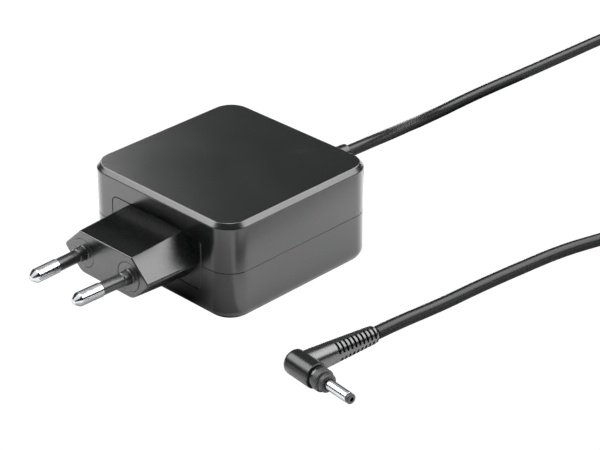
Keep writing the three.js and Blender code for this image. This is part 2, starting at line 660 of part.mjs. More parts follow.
// Right-angled output plug lying on the floor.
function outputPlug() {
  const plug = new THREE.Group();
  plug.position.set(DC_X, DC_Y, ELBOW_R);
  plug.rotation.z = THREE.MathUtils.degToRad(DC_TURN);
  group.add(plug);

  const outside = [[0, -3.4], [1.6, -3.3], [2.7, -2.6], [3.35, -1.5], [ELBOW_R, 0]];
  const elbow = turnedX([
    ...outside, [ELBOW_R, ELBOW_FRONT], [2.5, ELBOW_FRONT], [2.5, 3], [0, 3],
  ], 28);
  place('output_plug_elbow', elbow, plugPlastic(), plug);

  const sleeve = turned([
    [0, 1], [3.45, 1], [3.35, 6], [3.1, 10.5], [2.5, BOOT_END - 1], [2.1, BOOT_END],
    [0, BOOT_END],
  ], 24).translate(BOOT_X, 0, 0);
  const clearance = turnedX(rod(ELBOW_R + GAP, -8, 9), 28);
  const slots = [];
  for (let i = 0; i < BOOT_SLOTS; i += 1) {
    for (const side of [-1, 1]) {
      const slot = new THREE.BoxGeometry(2, SLOT_WIDTH, SLOT_HEIGHT);
      const x = BOOT_X + side * (SLOT_X - i * SLOT_DRAW_IN);
      slots.push(slot.translate(x, SLOT_FIRST_Y + i * SLOT_PITCH, 0));
    }
  }
  const boot = cut(sleeve, clearance, ...slots);
  place('output_plug_boot', boot, softPlastic(), plug);

  const band = turnedX(ring(2.5, 3.6, ELBOW_FRONT + GAP, ELBOW_FRONT + 1.1), 24);
  place('output_plug_ring', band, plugPlastic(), plug);
  const bore = BARREL_R + GAP;
  const nose = turnedX([
    [bore, 3.3], [NOSE_NECK_R, 3.3], [NOSE_NECK_R, ELBOW_FRONT + 1.4], [NOSE_R, ELBOW_FRONT + 1.4],
    [NOSE_R, 10.1], [NOSE_TIP_R, 10.3], [NOSE_TIP_R, NOSE_END], [bore, NOSE_END], [bore, 3.3],
  ], 24);
  place('output_plug_nose', nose, softPlastic(), plug);
  const barrel = turnedX(ring(BARREL_BORE_R, BARREL_R, 4, BARREL_END), 20);
  place('output_plug_barrel', barrel, chrome(), plug);
  const tip = turnedX([
    [0.55, 12], [0.85, 12], [0.85, BARREL_END + GAP], [1.45, BARREL_END + GAP],
    [1.45, BARREL_END + 0.9], [1.2, BARREL_END + 1.2], [0.55, BARREL_END + 1.2], [0.55, 12],
  ], 20);
  place('output_plug_tip_insulator', tip, material(0x111111, 0.4, 0), plug);
  const contact = turnedX(ring(0.5, 0.8, 5, 11.7), 12);
  place('output_plug_centre_contact', contact, copper(), plug);
}

topHousing();
bottomHousing();
socketWell();
socketSprings();
plugHeadBody();
plugHeadCover();
mainsPins();
pinSleeves();
contactBlades();
boardAndSheet();
mainsSideParts();
powerParts();
transformer();
outputSideParts();
outputLeads();
strainRelief();
cord();
outputPlug();

export default group;
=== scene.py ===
import math

import bmesh
import bpy
from mathutils import Matrix, Vector


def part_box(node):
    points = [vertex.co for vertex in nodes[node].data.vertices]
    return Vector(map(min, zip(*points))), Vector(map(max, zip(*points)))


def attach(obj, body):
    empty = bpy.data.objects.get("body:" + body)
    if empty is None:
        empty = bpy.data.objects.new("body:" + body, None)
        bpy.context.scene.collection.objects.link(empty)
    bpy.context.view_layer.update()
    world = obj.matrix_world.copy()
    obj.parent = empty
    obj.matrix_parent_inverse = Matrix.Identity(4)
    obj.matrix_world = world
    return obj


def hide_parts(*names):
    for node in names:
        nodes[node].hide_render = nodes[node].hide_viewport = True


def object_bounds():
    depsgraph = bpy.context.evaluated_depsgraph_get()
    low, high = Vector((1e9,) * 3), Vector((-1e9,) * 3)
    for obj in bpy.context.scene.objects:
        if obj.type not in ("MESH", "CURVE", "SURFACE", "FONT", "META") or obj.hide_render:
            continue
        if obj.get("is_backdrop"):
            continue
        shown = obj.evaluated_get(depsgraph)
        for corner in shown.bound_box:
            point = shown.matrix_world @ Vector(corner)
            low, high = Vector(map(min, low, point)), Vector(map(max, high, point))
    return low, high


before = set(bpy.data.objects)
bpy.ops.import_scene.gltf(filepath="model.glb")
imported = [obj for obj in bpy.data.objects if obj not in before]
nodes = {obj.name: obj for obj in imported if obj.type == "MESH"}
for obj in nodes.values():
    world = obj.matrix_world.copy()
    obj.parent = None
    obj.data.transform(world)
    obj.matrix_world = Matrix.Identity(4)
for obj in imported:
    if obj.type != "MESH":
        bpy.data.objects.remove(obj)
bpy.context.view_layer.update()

# ----------------
# Camera: a long lens, held above the corner between the mains plug and the smooth side, and
# aimed so that the whole adapter and its output plug fill the picture.
MM = 0.001
CAMERA_AZIMUTH = math.radians(44.57)
CAMERA_ELEVATION = math.radians(28.90)
CAMERA_DISTANCE = 628 * MM
CAMERA_AIM = Vector((15.32, 12.49, 10.63)) * MM
CAMERA_LENS = 132.3


def new_object(name, data):
    """Adds an object to the scene."""
    made = bpy.data.objects.new(name, data)
    bpy.context.scene.collection.objects.link(made)
    return made


camera = new_object("camera", bpy.data.cameras.new("camera"))
camera.data.lens = CAMERA_LENS
camera_back = Vector((
    math.sin(CAMERA_AZIMUTH) * math.cos(CAMERA_ELEVATION),
    -math.cos(CAMERA_AZIMUTH) * math.cos(CAMERA_ELEVATION),
    math.sin(CAMERA_ELEVATION),
))
camera.location = CAMERA_AIM + camera_back * CAMERA_DISTANCE
camera.rotation_euler = camera_back.to_track_quat("Z", "Y").to_euler()
bpy.context.scene.camera = camera

# ----------------
# Floor and light: white paper, three soft boxes, three cards that each light one kind of piece,
# and grey and black sheets, hidden from the camera, that glossy faces reflect as painted shadow.


def colour(code):
    """Turns an sRGB hex value such as "1c1d1e" into linear red, green, blue and alpha."""
    parts = [int(code[i:i + 2], 16) / 255 for i in (0, 2, 4)]
    linear = [p / 12.92 if p <= 0.04045 else ((p + 0.055) / 1.055) ** 2.4 for p in parts]
    return (*linear, 1.0)


def add(tree, kind, inputs=None, **settings):
    """Adds one node with its settings, and sets or links its inputs by name or number. A node
    given as an input is linked by its first output."""
    made = tree.nodes.new(kind)
    for name, value in settings.items():
        setattr(made, name, value)
    for key, value in (inputs or {}).items():
        if isinstance(value, bpy.types.Node):
            value = value.outputs[0]
        if isinstance(value, bpy.types.NodeSocket):
            tree.links.new(value, made.inputs[key])
        else:
            made.inputs[key].default_value = value
    return made


def new_material(name):
    """An empty node material; returns it, its tree and its Object coordinates."""
    made = bpy.data.materials.new(name)
    made.use_nodes = True
    made.node_tree.nodes.clear()
    return made, made.node_tree, add(made.node_tree, "ShaderNodeTexCoord").outputs["Object"]


def drifting(tree, place, cell_mm, base, other, detail=2.0, distortion=0.0):
    """Noise in cells of a given size, and a colour that drifts between two shades with it."""
    noise = add(tree, "ShaderNodeTexNoise", {
        "Vector": place, "Scale": 1 / (cell_mm * MM), "Detail": detail, "Distortion": distortion})
    tint = add(tree, "ShaderNodeMix", {
        0: noise, 6: colour(base), 7: colour(other)}, data_type="RGBA")
    return noise, tint.outputs[2]


def surface(tree, height, strength, depth_mm, values, **settings):
    """Ends a material with a plain surface, raised where the height is high."""
    relief = add(tree, "ShaderNodeBump", {
        "Height": height, "Strength": strength, "Distance": depth_mm * MM})
    shader = add(tree, "ShaderNodeBsdfPrincipled", {**values, "Normal": relief}, **settings)
    add(tree, "ShaderNodeOutputMaterial", {"Surface": shader})


FLOOR_SIZE = 14.0


def paper_material():
    """Matt white background paper, overexposed where it is seen directly, as on a light table."""
    made, tree, place = new_material("white_paper")
    tint = drifting(tree, place, 500, "f4f4f4", "f8f8f8")[1]
    path = add(tree, "ShaderNodeLightPath")
    shader = add(tree, "ShaderNodeBsdfPrincipled", {
        "Base Color": tint, "Roughness": 0.9, "Specular IOR Level": 0.1})
    white = add(tree, "ShaderNodeEmission", {"Color": tint, "Strength": 1.12})
    seen = add(tree, "ShaderNodeMixShader", {
        0: path.outputs["Is Camera Ray"], 1: shader, 2: white})
    add(tree, "ShaderNodeOutputMaterial", {"Surface": seen})
    return made


half = FLOOR_SIZE / 2
floor_mesh = bpy.data.meshes.new("floor")
floor_mesh.from_pydata(
    [(-half, -half, 0), (half, -half, 0), (half, half, 0), (-half, half, 0)], [], [(0, 1, 2, 3)])
floor = new_object("floor", floor_mesh)
floor_mesh.materials.append(paper_material())
floor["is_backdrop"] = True

SUBJECT = Vector((20, 20, 15)) * MM


def soft_box(name, azimuth, elevation, distance, width, height, radiance):
    """A flat light facing the subject. Azimuth is measured from +X towards +Y, in degrees."""
    a, e = math.radians(azimuth), math.radians(elevation)
    away = Vector((math.cos(a) * math.cos(e), math.sin(a) * math.cos(e), math.sin(e)))
    lamp = bpy.data.lights.new(name, "AREA")
    lamp.shape = "RECTANGLE"
    lamp.size = width
    lamp.size_y = height
    lamp.energy = radiance * math.pi * width * height
    made = new_object(name, lamp)
    made.location = SUBJECT + away * distance
    made.rotation_euler = away.to_track_quat("Z", "Y").to_euler()
    made.visible_camera = False
    return made


soft_box("soft_box_right", 66, 44, 0.95, 1.15, 0.54, 9.0)
left_box = soft_box("soft_box_left", 212, 42.5, 0.95, 0.80, 0.54, 10.5)
soft_box("soft_box_over", 90, 89, 1.30, 0.90, 0.90, 10.0)
left_card = soft_box("card_far_left", 156, 24, 1.20, 0.40, 0.40, 7.0)
metal_card = soft_box("card_over_metal", 135, 46, 0.60, 0.75, 0.42, 1.0)
tip_card = soft_box("card_before_metal", 262, 38, 0.60, 0.70, 0.50, 2.2)


def link_light(lamp, state, receivers):
    """Has a lamp light only the receivers, state INCLUDE, or all but them, state EXCLUDE."""
    group = bpy.data.collections.new(lamp.name)
    for receiver in receivers:
        group.objects.link(receiver)
    for member in group.collection_objects:
        member.light_linking.link_state = state
    lamp.light_linking.receiver_collection = group


def painted_shadow_sheet(name, base, shadow_mottle):
    """Painted shadow: a dark matt sheet with a faint mottle, laid beside a glossy object so that
    its faces reflect shade there.
    """
    made, tree, place = new_material(name)
    tint = drifting(tree, place, 1.2, base, shadow_mottle)[1]
    shader = add(tree, "ShaderNodeBsdfDiffuse", {"Color": tint})
    add(tree, "ShaderNodeOutputMaterial", {"Surface": shader})
    return made


def lay_painted_shadow(name, edge_a, edge_b, cloth):
    """Strip of painted shadow between two edges, hidden from the camera. An edge's points without
    a height lie just over the paper."""
    mesh = bpy.data.meshes.new(name)
    count = len(edge_a)
    corners = [Vector((*point, 0.2)[:3]) * MM for point in [*edge_a, *edge_b]]
    mesh.from_pydata(corners, [], [
        (i, i + 1, count + i + 1, count + i) for i in range(count - 1)])
    mesh.materials.append(cloth)
    made = new_object(name, mesh)
    made.visible_camera = False
    made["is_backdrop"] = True


# Painted shadow: a grey sheet and a black one, which glossy faces reflect in place of the shade
# on the floor and wall.
grey_shade_sheet = painted_shadow_sheet("grey_painted_shadow_sheet", "a6a6a6", "b0b0b0")
black_shade_sheet = painted_shadow_sheet("black_painted_shadow_sheet", "1c1c1c", "262626")
# Painted shadow: the grey sheet lies where the body's shadow falls on the floor before its near
# corner, one black strip where the cord's contact shadow lies, and one over the plug head, which
# the block's top reflects as painted shade.
lay_painted_shadow("painted_shadow_at_corner", [(20, -30.5), (25, -29.5), (29, -27), (31.5, -23)],
         [(4, -66), (27, -88), (62, -60), (56, -46)], grey_shade_sheet)
lay_painted_shadow("painted_shadow_under_cord", [(6, 62), (9, 80), (2, 112), (-9, 150)],
         [(-14, 62), (-22, 80), (-28, 112), (-26, 150)], black_shade_sheet)
lay_painted_shadow("painted_shade_over_plate", [(-34, -31.6, 31), (17, -31.6, 31)],
         [(-34, -41, 31), (17, -41, 31)], black_shade_sheet)

# The room is dim, so that glossy faces that look away from the lights stay dark. Seen directly
# it is as pale as the floor.
ROOM_PALE = "fbfbfb"
ROOM_DIM = 0.03
world = bpy.data.worlds.new("studio")
world.use_nodes = True
world.node_tree.nodes.clear()
bpy.context.scene.world = world
path = add(world.node_tree, "ShaderNodeLightPath")
dim = add(world.node_tree, "ShaderNodeBackground", {"Strength": ROOM_DIM})
pale = add(world.node_tree, "ShaderNodeBackground", {"Color": colour(ROOM_PALE)})
room = add(world.node_tree, "ShaderNodeMixShader", {
    0: path.outputs["Is Camera Ray"], 1: dim, 2: pale})
add(world.node_tree, "ShaderNodeOutputWorld", {"Surface": room})
bpy.context.scene.view_settings.view_transform = "Standard"

# ----------------
# Output cord: one round two-core lead with an extruded black PVC sheath. It leaves the strain
# relief, drops to the floor and runs to a coil of its spare length, and from there to its plug.
CORD_D = 3.8
COIL_CENTRE = (63, 162)
COIL_MIDDLE_R = 19
TURN_PITCH = 3.9
COIL_COLUMNS = 3
COIL_TURNS = 11
COIL_TOP_ROW = COIL_TURNS // COIL_COLUMNS
COIL_FIRST_Z = 3.3
CLIMB_ANGLE = 70
POINTS_PER_TURN = 24
ENTRY_ANGLE = 45

OUT_ROUTE = [
    (0, 48, 15.6), (-0.3, 54, 15.2), (-1.4, 61, 14.2), (-3.6, 69.5, 12.3), (-6.6, 78, 9.9),
    (-9.7, 86, 7.5), (-12.5, 94, 5.2), (-14.7, 102, 3.5), (-16.1, 110, 2.4), (-16.8, 119, 2),
    (-16.8, 131, 1.95), (-16.1, 150, 1.95), (-15.4, 174, 1.95), (-14.6, 195, 1.95),
    (-12.8, 208, 1.95), (-7.3, 219, 1.95), (2, 226, 1.95), (14, 228.4, 1.95), (27, 226, 1.95),
    (39, 218.6, 2.1), (50, 207.8, 2.6), (59.5, 197.9, 3), (68.2, 189.2, 3.2),
]
IN_ROUTE = [
    (85.9, 146.4, 14.3), (85.4, 134, 12.1), (84, 121, 8.6), (81, 108, 5), (77.3, 95, 2.6),
    (73.2, 82, 1.95), (68.8, 65.9, 1.95), (66.3, 48.5, 1.95), (64.5, 31, 1.95), (63.9, 21, 2.05),
    (63.6, 13, 2.5), (63.4, 5.5, 3.1), (63.2, -1, 3.5), (62.93, -7.05, 3.65),
]


def turn_slot(turn):
    """Column and row of one turn. Rows fill inwards and outwards by turns, from the floor up."""
    row, place_in_row = divmod(turn, COIL_COLUMNS)
    inward = row % 2 == 0
    return (COIL_COLUMNS - 1 - place_in_row if inward else place_in_row), row


def coil_slots():
    """Slots in winding order. The top row has one turn less, so it starts one column out."""
    slots = [turn_slot(turn) for turn in range(COIL_TURNS + 1)]
    return [s for s in slots if s != (0, COIL_TOP_ROW)] + [(COIL_COLUMNS - 1, COIL_TOP_ROW)]


def coil_points():
    """Centre line of the wound turns, clockwise from the entry to the side that faces +X. Each
    turn moves over to the next slot in its last stretch."""
    slots = coil_slots()
    total = COIL_TURNS * 360 + ENTRY_ANGLE
    steps = round(total / 360 * POINTS_PER_TURN)
    points = []
    for i in range(steps + 1):
        wound = i / steps * total
        turn = int(wound // 360)
        ease = max(0.0, (wound % 360 - (360 - CLIMB_ANGLE)) / CLIMB_ANGLE)
        ease = ease * ease * (3 - 2 * ease)
        here = slots[min(turn, len(slots) - 1)]
        there = slots[min(turn + 1, len(slots) - 1)]
        column = here[0] + (there[0] - here[0]) * ease
        row = here[1] + (there[1] - here[1]) * ease
        radius = COIL_MIDDLE_R + (column - (COIL_COLUMNS - 1) / 2) * TURN_PITCH
        angle = math.radians(ENTRY_ANGLE - wound)
        points.append((
            COIL_CENTRE[0] + radius * math.cos(angle),
            COIL_CENTRE[1] + radius * math.sin(angle),
            COIL_FIRST_Z + row * TURN_PITCH,
        ))
    return points


cord_line = [Vector(p) * MM for p in [*OUT_ROUTE, *coil_points(), *IN_ROUTE]]
cord_curve = bpy.data.curves.new("output_cord", "CURVE")
cord_curve.dimensions = "3D"
cord_curve.bevel_depth = CORD_D / 2 * MM
cord_curve.bevel_resolution = 5
cord_curve.resolution_u = 5
cord_curve.use_fill_caps = True
spline = cord_curve.splines.new("BEZIER")
spline.bezier_points.add(len(cord_line) - 1)
for knot, point in zip(spline.bezier_points, cord_line):
    knot.co = point
    knot.handle_left_type = "AUTO"
    knot.handle_right_type = "AUTO"
cord = new_object("output_cord", cord_curve)


def soft_pvc(name, base, mottle, shine, roughness, grain_mm, grain_depth, worn_roughness):
    """Plasticised PVC or TPE: soft black, half gloss above, scuffed matt where it faces down."""
    made, tree, place = new_material(name)
    tint = drifting(tree, place, 14, base, mottle, 3.0)[1]
    peel = add(tree, "ShaderNodeTexNoise", {
        "Vector": place, "Scale": 1 / (grain_mm * MM), "Detail": 2.0})
    facing = add(tree, "ShaderNodeNewGeometry")
    height = add(tree, "ShaderNodeSeparateXYZ", {0: facing.outputs["Normal"]})
    scuffed = add(tree, "ShaderNodeMapRange", {
        0: height.outputs["Z"], 1: 0.6, 2: 0.1, 3: roughness, 4: worn_roughness},
        interpolation_type="SMOOTHSTEP")
    uneven = add(tree, "ShaderNodeMath", {
        0: peel, 1: 0.015, 2: scuffed}, operation="MULTIPLY_ADD")
    surface(tree, peel, 0.2, grain_depth, {
        "Base Color": tint, "Roughness": uneven, "IOR": 1.5, "Specular IOR Level": shine},
        distribution="GGX")
    return made


# The sheath is soft PVC: near black, with the low satin gloss of an extruded skin.
sheath_pvc = soft_pvc("extruded_pvc_sheath", "0b0c0c", "0f1010", 0.2, 0.32, 0.5, 0.0012, 0.9)
cord_curve.materials.append(sheath_pvc)
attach(cord, "adapter")
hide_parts("cord_from_housing", "cord_coil", "cord_to_plug")

# ----------------
# Housing halves: two injection-moulded shells of black PC/ABS. The lower one carries a lip that
# locates the upper one, and the two are ultrasonically welded along the thin parting line.
upper_low, upper_high = (Vector(corner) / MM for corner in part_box("top_housing"))
BODY_X = upper_high.x - upper_low.x
BODY_Y = upper_high.y - upper_low.y
BODY_Z = upper_high.z
FRONT_Y = upper_low.y
REAR_Y = upper_high.y
CORNER_R = 7.3
CHAMFER_IN = 1.2
CHAMFER_DROP = 1.45
FOOT_ROUND = 3.5
WALL = 2.2
PARTING_Z = 15.2
PARTING_GAP = 0.13
RIM_ROUND = 0.1
LIP_IN = 3.6
LIP_OUT = 2.5
LIP_TOP = 17.5
LIP_FOOT = 11
PLATE_X = 36
PLATE_Z = 16
PLATE_R = 2
PLATE_AXIS_Z = 15.35
PLATE_GAP = 0.1
EDGE_BREAK = 0.12
WELL_HALF_X = 20
WELL_HALF_Z = 10
GLAND_Z = 15.6
GLAND_HOLE_R = 3.1
GLAND_ROOM_HALF = 5
CRISP_ANGLE = math.radians(33)
WELD_DISTANCE = 0.002 * MM


def soften(corners, closed=False, steps=5):
    """Rounds an outline's corners, given as (a, b, radius), and adds a point beside each arc so
    that the straight stretches shade flat."""
    points = []
    count = len(corners)
    for i, (a, b, radius) in enumerate(corners):
        here = Vector((a, b))
        if radius == 0 or (not closed and i in (0, count - 1)):
            points.append(here)
            continue
        back = Vector(corners[i - 1][:2]) - here
        ahead = Vector(corners[(i + 1) % count][:2]) - here
        half_angle = back.angle(ahead) / 2
        reach = min(radius / math.tan(half_angle), 0.45 * back.length, 0.45 * ahead.length)
        lead = min(1.3 * reach, 0.49 * back.length, 0.49 * ahead.length)
        back.normalize()
        ahead.normalize()
        centre = here + (back + ahead).normalized() * reach / math.cos(half_angle)
        from_centre = here + back * reach - centre
        to_centre = here + ahead * reach - centre
        sweep = from_centre.angle(to_centre)
        points.append(here + back * lead)
        for step in range(steps + 1):
            part = step / steps
            points.append(centre + (
                from_centre * math.sin((1 - part) * sweep) + to_centre * math.sin(part * sweep)
            ) / math.sin(sweep))
        points.append(here + ahead * lead)
    return [(p.x, p.y) for p in points]


def rounded_rectangle(width, height, radius, steps=14):
    """Outline of a rectangle with round corners, centred, anticlockwise."""
    x, y = width / 2, height / 2
    corners = [(x, -y, radius), (x, y, radius), (-x, y, radius), (-x, -y, radius)]
    return soften(corners, closed=True, steps=steps)


def loft(rings, turn=Matrix(), hollow=False):
    """Skin over rings with the same number of points, in millimetres. The ends are closed by a
    face each, or joined to each other if the shape is a hollow ring."""
    form = bmesh.new()
    rows = [[form.verts.new((turn @ Vector(point)) * MM) for point in ring] for ring in rings]
    follows = [*rows[1:], rows[0]] if hollow else rows[1:]
    for row, after in zip(rows, follows):
        for i in range(len(row)):
            j = (i + 1) % len(row)
            form.faces.new((row[i], row[j], after[j], after[i]))
    if not hollow:
        form.faces.new(rows[0])
        form.faces.new(rows[-1])
    bmesh.ops.recalc_face_normals(form, faces=form.faces)
    return form


def piece(name, form, material=None):
    """Turns a bmesh into a smooth-shaded object with crisp edges. A tool needs no material."""
    mesh = bpy.data.meshes.new(name)
    form.to_mesh(mesh)
    form.free()
    mesh.materials.append(material)
    made = new_object(name, mesh)
    mesh.shade_smooth()
    mesh.set_sharp_from_angle(angle=CRISP_ANGLE)
    return made


def bake(made):
    """Keeps what an object's modifiers make as its plain mesh."""
    result = made.evaluated_get(bpy.context.evaluated_depsgraph_get())
    shape = bpy.data.meshes.new_from_object(result)
    made.modifiers.clear()
    made.data = shape
    return shape


def combine(target, tools, operation="DIFFERENCE"):
    """Cuts the tools out of a piece, or joins them to it, and removes them."""
    for tool in tools:
        step = target.modifiers.new(operation.lower(), "BOOLEAN")
        step.operation = operation
        step.solver = "EXACT"
        step.object = tool
    shape = bake(target)
    for tool in tools:
        bpy.data.objects.remove(tool)
    form = bmesh.new()
    form.from_mesh(shape)
    bmesh.ops.remove_doubles(form, verts=form.verts, dist=WELD_DISTANCE)
    bmesh.ops.dissolve_degenerate(form, edges=form.edges, dist=WELD_DISTANCE)
    form.to_mesh(shape)
    form.free()
    shape.shade_smooth()
    shape.set_sharp_from_angle(angle=CRISP_ANGLE)


def fasten(made, body, slot_name, *cad_nodes):
    """Rides on the body and stands for the CAD nodes."""
    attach(made, body)
    if cad_nodes:
        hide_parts(*cad_nodes)


def housing_rings(profile):
    """Outlines of the housing at each (inset, height) of a wall profile."""
    rings = []
    for inset, z in profile:
        radius = max(CORNER_R - inset, 1.2)
        outline = rounded_rectangle(BODY_X - 2 * inset, BODY_Y - 2 * inset, radius, 18)
        rings.append([(x, y, z) for x, y in outline])
    return rings


def tool_along_y(outline, stations, z, material=None):
    """Cutting tool: an X-Z outline given as a function of its growth, at each (y, growth)."""
    rings = [[(x, y, z + up) for x, up in outline(grow)] for y, grow in stations]
    return piece("tool", loft(rings), material)


def block_tool(x0, x1, y0, y1, z0, z1):
    corners = [(x0, y0), (x1, y0), (x1, y1), (x0, y1)]
    return piece("tool", loft([[(x, y, z) for x, y in corners] for z in (z0, z1)]))


def circle(radius, steps=40):
    return [(radius * math.cos(math.tau * i / steps), radius * math.sin(math.tau * i / steps))
            for i in range(steps)]


def moulded_plastic(name, base, mottle, roughness, spread, grain_mm, grain_depth):
    """Injection-moulded black thermoplastic: satin, with the fine spark texture of its mould and
    the slight unevenness in gloss that flow lines leave."""
    made, tree, place = new_material(name)
    flow, tint = drifting(tree, place, 22, base, mottle, distortion=0.6)
    spark = add(tree, "ShaderNodeTexNoise", {
        "Vector": place, "Scale": 1 / (grain_mm * MM), "Detail": 3.0, "Roughness": 0.65})
    wander = add(tree, "ShaderNodeMath", {0: flow, 1: spark}, operation="ADD")
    gloss = add(tree, "ShaderNodeMapRange", {
        0: wander, 1: 0.6, 2: 1.4, 3: roughness - spread, 4: roughness + spread})
    surface(tree, spark, 0.3, grain_depth, {"Base Color": tint, "Roughness": gloss, "IOR": 1.52})
    return made


# Housing plastic: PC/ABS from a finely eroded mould, near black with a smooth satin shine.
housing_plastic = moulded_plastic("moulded_pc_abs", "101111", "121313", 0.25, 0.03, 0.16, 0.004)

roof = BODY_Z - WALL
rim = PARTING_Z + PARTING_GAP / 2
upper_profile = soften([
    (WALL + 4, roof, 0), (WALL, roof, 1), (WALL, rim, 0), (0, rim, RIM_ROUND),
    (0, BODY_Z - CHAMFER_DROP, 0.5), (CHAMFER_IN, BODY_Z, 0.4), (CHAMFER_IN + 3, BODY_Z, 0),
])
top_housing = piece("housing_upper_half", loft(housing_rings(upper_profile)), housing_plastic)

rim = PARTING_Z - PARTING_GAP / 2
lower_profile = soften([
    (WALL + 4, WALL, 0), (WALL, WALL, 1), (WALL, LIP_FOOT - 1, 0), (LIP_IN, LIP_FOOT, 0),
    (LIP_IN, LIP_TOP, 0.3), (LIP_OUT, LIP_TOP, 0.3), (LIP_OUT, rim, 0), (0, rim, RIM_ROUND),
    (0, 0, FOOT_ROUND), (FOOT_ROUND + 4, 0, 0),
], steps=9)
bottom_housing = piece("housing_lower_half", loft(housing_rings(lower_profile)), housing_plastic)


def plate_outline(grow):
    return rounded_rectangle(PLATE_X + 2 * grow, PLATE_Z + 2 * grow, PLATE_R + grow, 8)


def housing_openings():
    """Window for the plug head, room for its well, and the hole for the strain relief."""
    mouth = [(FRONT_Y - 1, PLATE_GAP + EDGE_BREAK), (FRONT_Y, PLATE_GAP + EDGE_BREAK),
             (FRONT_Y + EDGE_BREAK, PLATE_GAP), (FRONT_Y + 5, PLATE_GAP)]
    hole = [(REAR_Y - 5, 0), (REAR_Y - EDGE_BREAK, 0), (REAR_Y, EDGE_BREAK),
            (REAR_Y + 1, EDGE_BREAK)]
    return [
        tool_along_y(plate_outline, mouth, PLATE_AXIS_Z),
        block_tool(-WELL_HALF_X, WELL_HALF_X, FRONT_Y + WALL, FRONT_Y + 9,
                   PLATE_AXIS_Z - WELL_HALF_Z, PLATE_AXIS_Z + WELL_HALF_Z),
        tool_along_y(lambda grow: circle(GLAND_HOLE_R + grow), hole, GLAND_Z),
        block_tool(-GLAND_ROOM_HALF, GLAND_ROOM_HALF, REAR_Y - 8, REAR_Y - WALL,
                   GLAND_Z - GLAND_ROOM_HALF, GLAND_Z + GLAND_ROOM_HALF),
    ]


combine(top_housing, housing_openings())
combine(bottom_housing, housing_openings())

# The underside has a shallow field where a rating plate is stuck on; it is left blank. Four posts
# inside the lower half carry the circuit board.
LABEL_X = 42
LABEL_Y = 38
LABEL_DEPTH = 0.25
POST_R = 2
POST_ENDS = (1.7, 5.3)
label_field = [
    [(x, y, z) for x, y in rounded_rectangle(LABEL_X + 2 * grow, LABEL_Y + 2 * grow, 2, 6)]
    for z, grow in ((-1, LABEL_DEPTH), (0, LABEL_DEPTH), (LABEL_DEPTH, 0))]
combine(bottom_housing, [piece("tool", loft(label_field))])
posts = [
    piece("post", loft([[(x + a, y + b, z) for a, b in circle(POST_R, 20)] for z in POST_ENDS]))
    for x in (-20, 20) for y in (-10, 20)]
combine(bottom_housing, posts, "UNION")

link_light(left_card, "INCLUDE", [top_housing, bottom_housing])
fasten(top_housing, "adapter", "housing_plastic", "top_housing")
fasten(bottom_housing, "adapter", "housing_plastic", "bottom_housing")

# ----------------
# Strain relief: a smooth tapered TPE sleeve moulded onto the cord. Its waist sits in the
# housing's wall with a flange behind it, and its taper lets the cord bend gently.
relief_low, relief_high = (Vector(corner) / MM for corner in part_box("strain_relief"))
RELIEF_ROOT = REAR_Y + 0.2
RELIEF_END = relief_high.y
RELIEF_RADIUS_ROOT = 3.9
RELIEF_RADIUS_END = 2.75
CORD_BORE = CORD_D / 2 - 0.05


def turned(profile, origin, direction, steps=48, hollow=False):
    """Turned form: (radius, distance) points swept round an axis from origin in direction."""
    axis = Vector(direction).to_track_quat("Z", "Y").to_matrix().to_4x4()
    rings = [[(x, y, distance) for x, y in circle(radius, steps)] for radius, distance in profile]
    return loft(rings, Matrix.Translation(Vector(origin)) @ axis, hollow)


def relief_radius(along):
    """Radius of the sleeve's taper, a slightly hollow curve from its root to its tip."""
    part = (along - RELIEF_ROOT) / (RELIEF_END - RELIEF_ROOT)
    return RELIEF_RADIUS_ROOT + (RELIEF_RADIUS_END - RELIEF_RADIUS_ROOT) * part ** 0.8


# Firm TPE is dulled by the grain of its mould: a soft, broad highlight.
firm_tpe = soft_pvc("moulded_firm_tpe", "0f1010", "131414", 0.3, 0.26, 0.35, 0.004, 0.3)
inside = REAR_Y - WALL - 0.2
sleeve = soften([
    (CORD_BORE, relief_low.y, 0), (4.2, relief_low.y, 0.2), (4.2, inside, 0.2), (2.95, inside, 0),
    (2.95, RELIEF_ROOT, 0), (RELIEF_RADIUS_ROOT, RELIEF_ROOT, 0.3),
    *[(relief_radius(RELIEF_ROOT + 3 + i), RELIEF_ROOT + 3 + i, 0) for i in range(14)],
    (RELIEF_RADIUS_END, RELIEF_END, 0.7), (CORD_BORE, RELIEF_END, 0),
], steps=4)
strain_relief = piece(
    "strain_relief_sleeve", turned(sleeve, (0, 0, GLAND_Z), (0, 1, 0)), firm_tpe)
fasten(strain_relief, "adapter", "soft_plastic", "strain_relief")

# ----------------
# Plug head: a glossy black PC moulding with the rectangular plate that closes the housing's
# window and the flat hexagonal block that carries the two pins. It slides out to be changed.
head_low, head_high = (Vector(corner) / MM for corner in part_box("plug_head_body"))
BLOCK_FRONT = head_low.y
BLOCK_LENGTH = FRONT_Y - BLOCK_FRONT
PLUG_AXIS_Z = 15.8
BLOCK_HALF_X = 17.65
BLOCK_FLAT_HALF_X = 10.8
BLOCK_ROOT_HALF_Z = 7.4
BLOCK_FRONT_HALF_Z = 6.4
BLOCK_TAPER_X = 0.02
PIN_SPACING = 18.6
PIN_LENGTH = 19
PIN_LEAN = math.atan(0.55 / PIN_LENGTH)
FLANGE_R = 4.25
FLANGE_DEPTH = 2.3


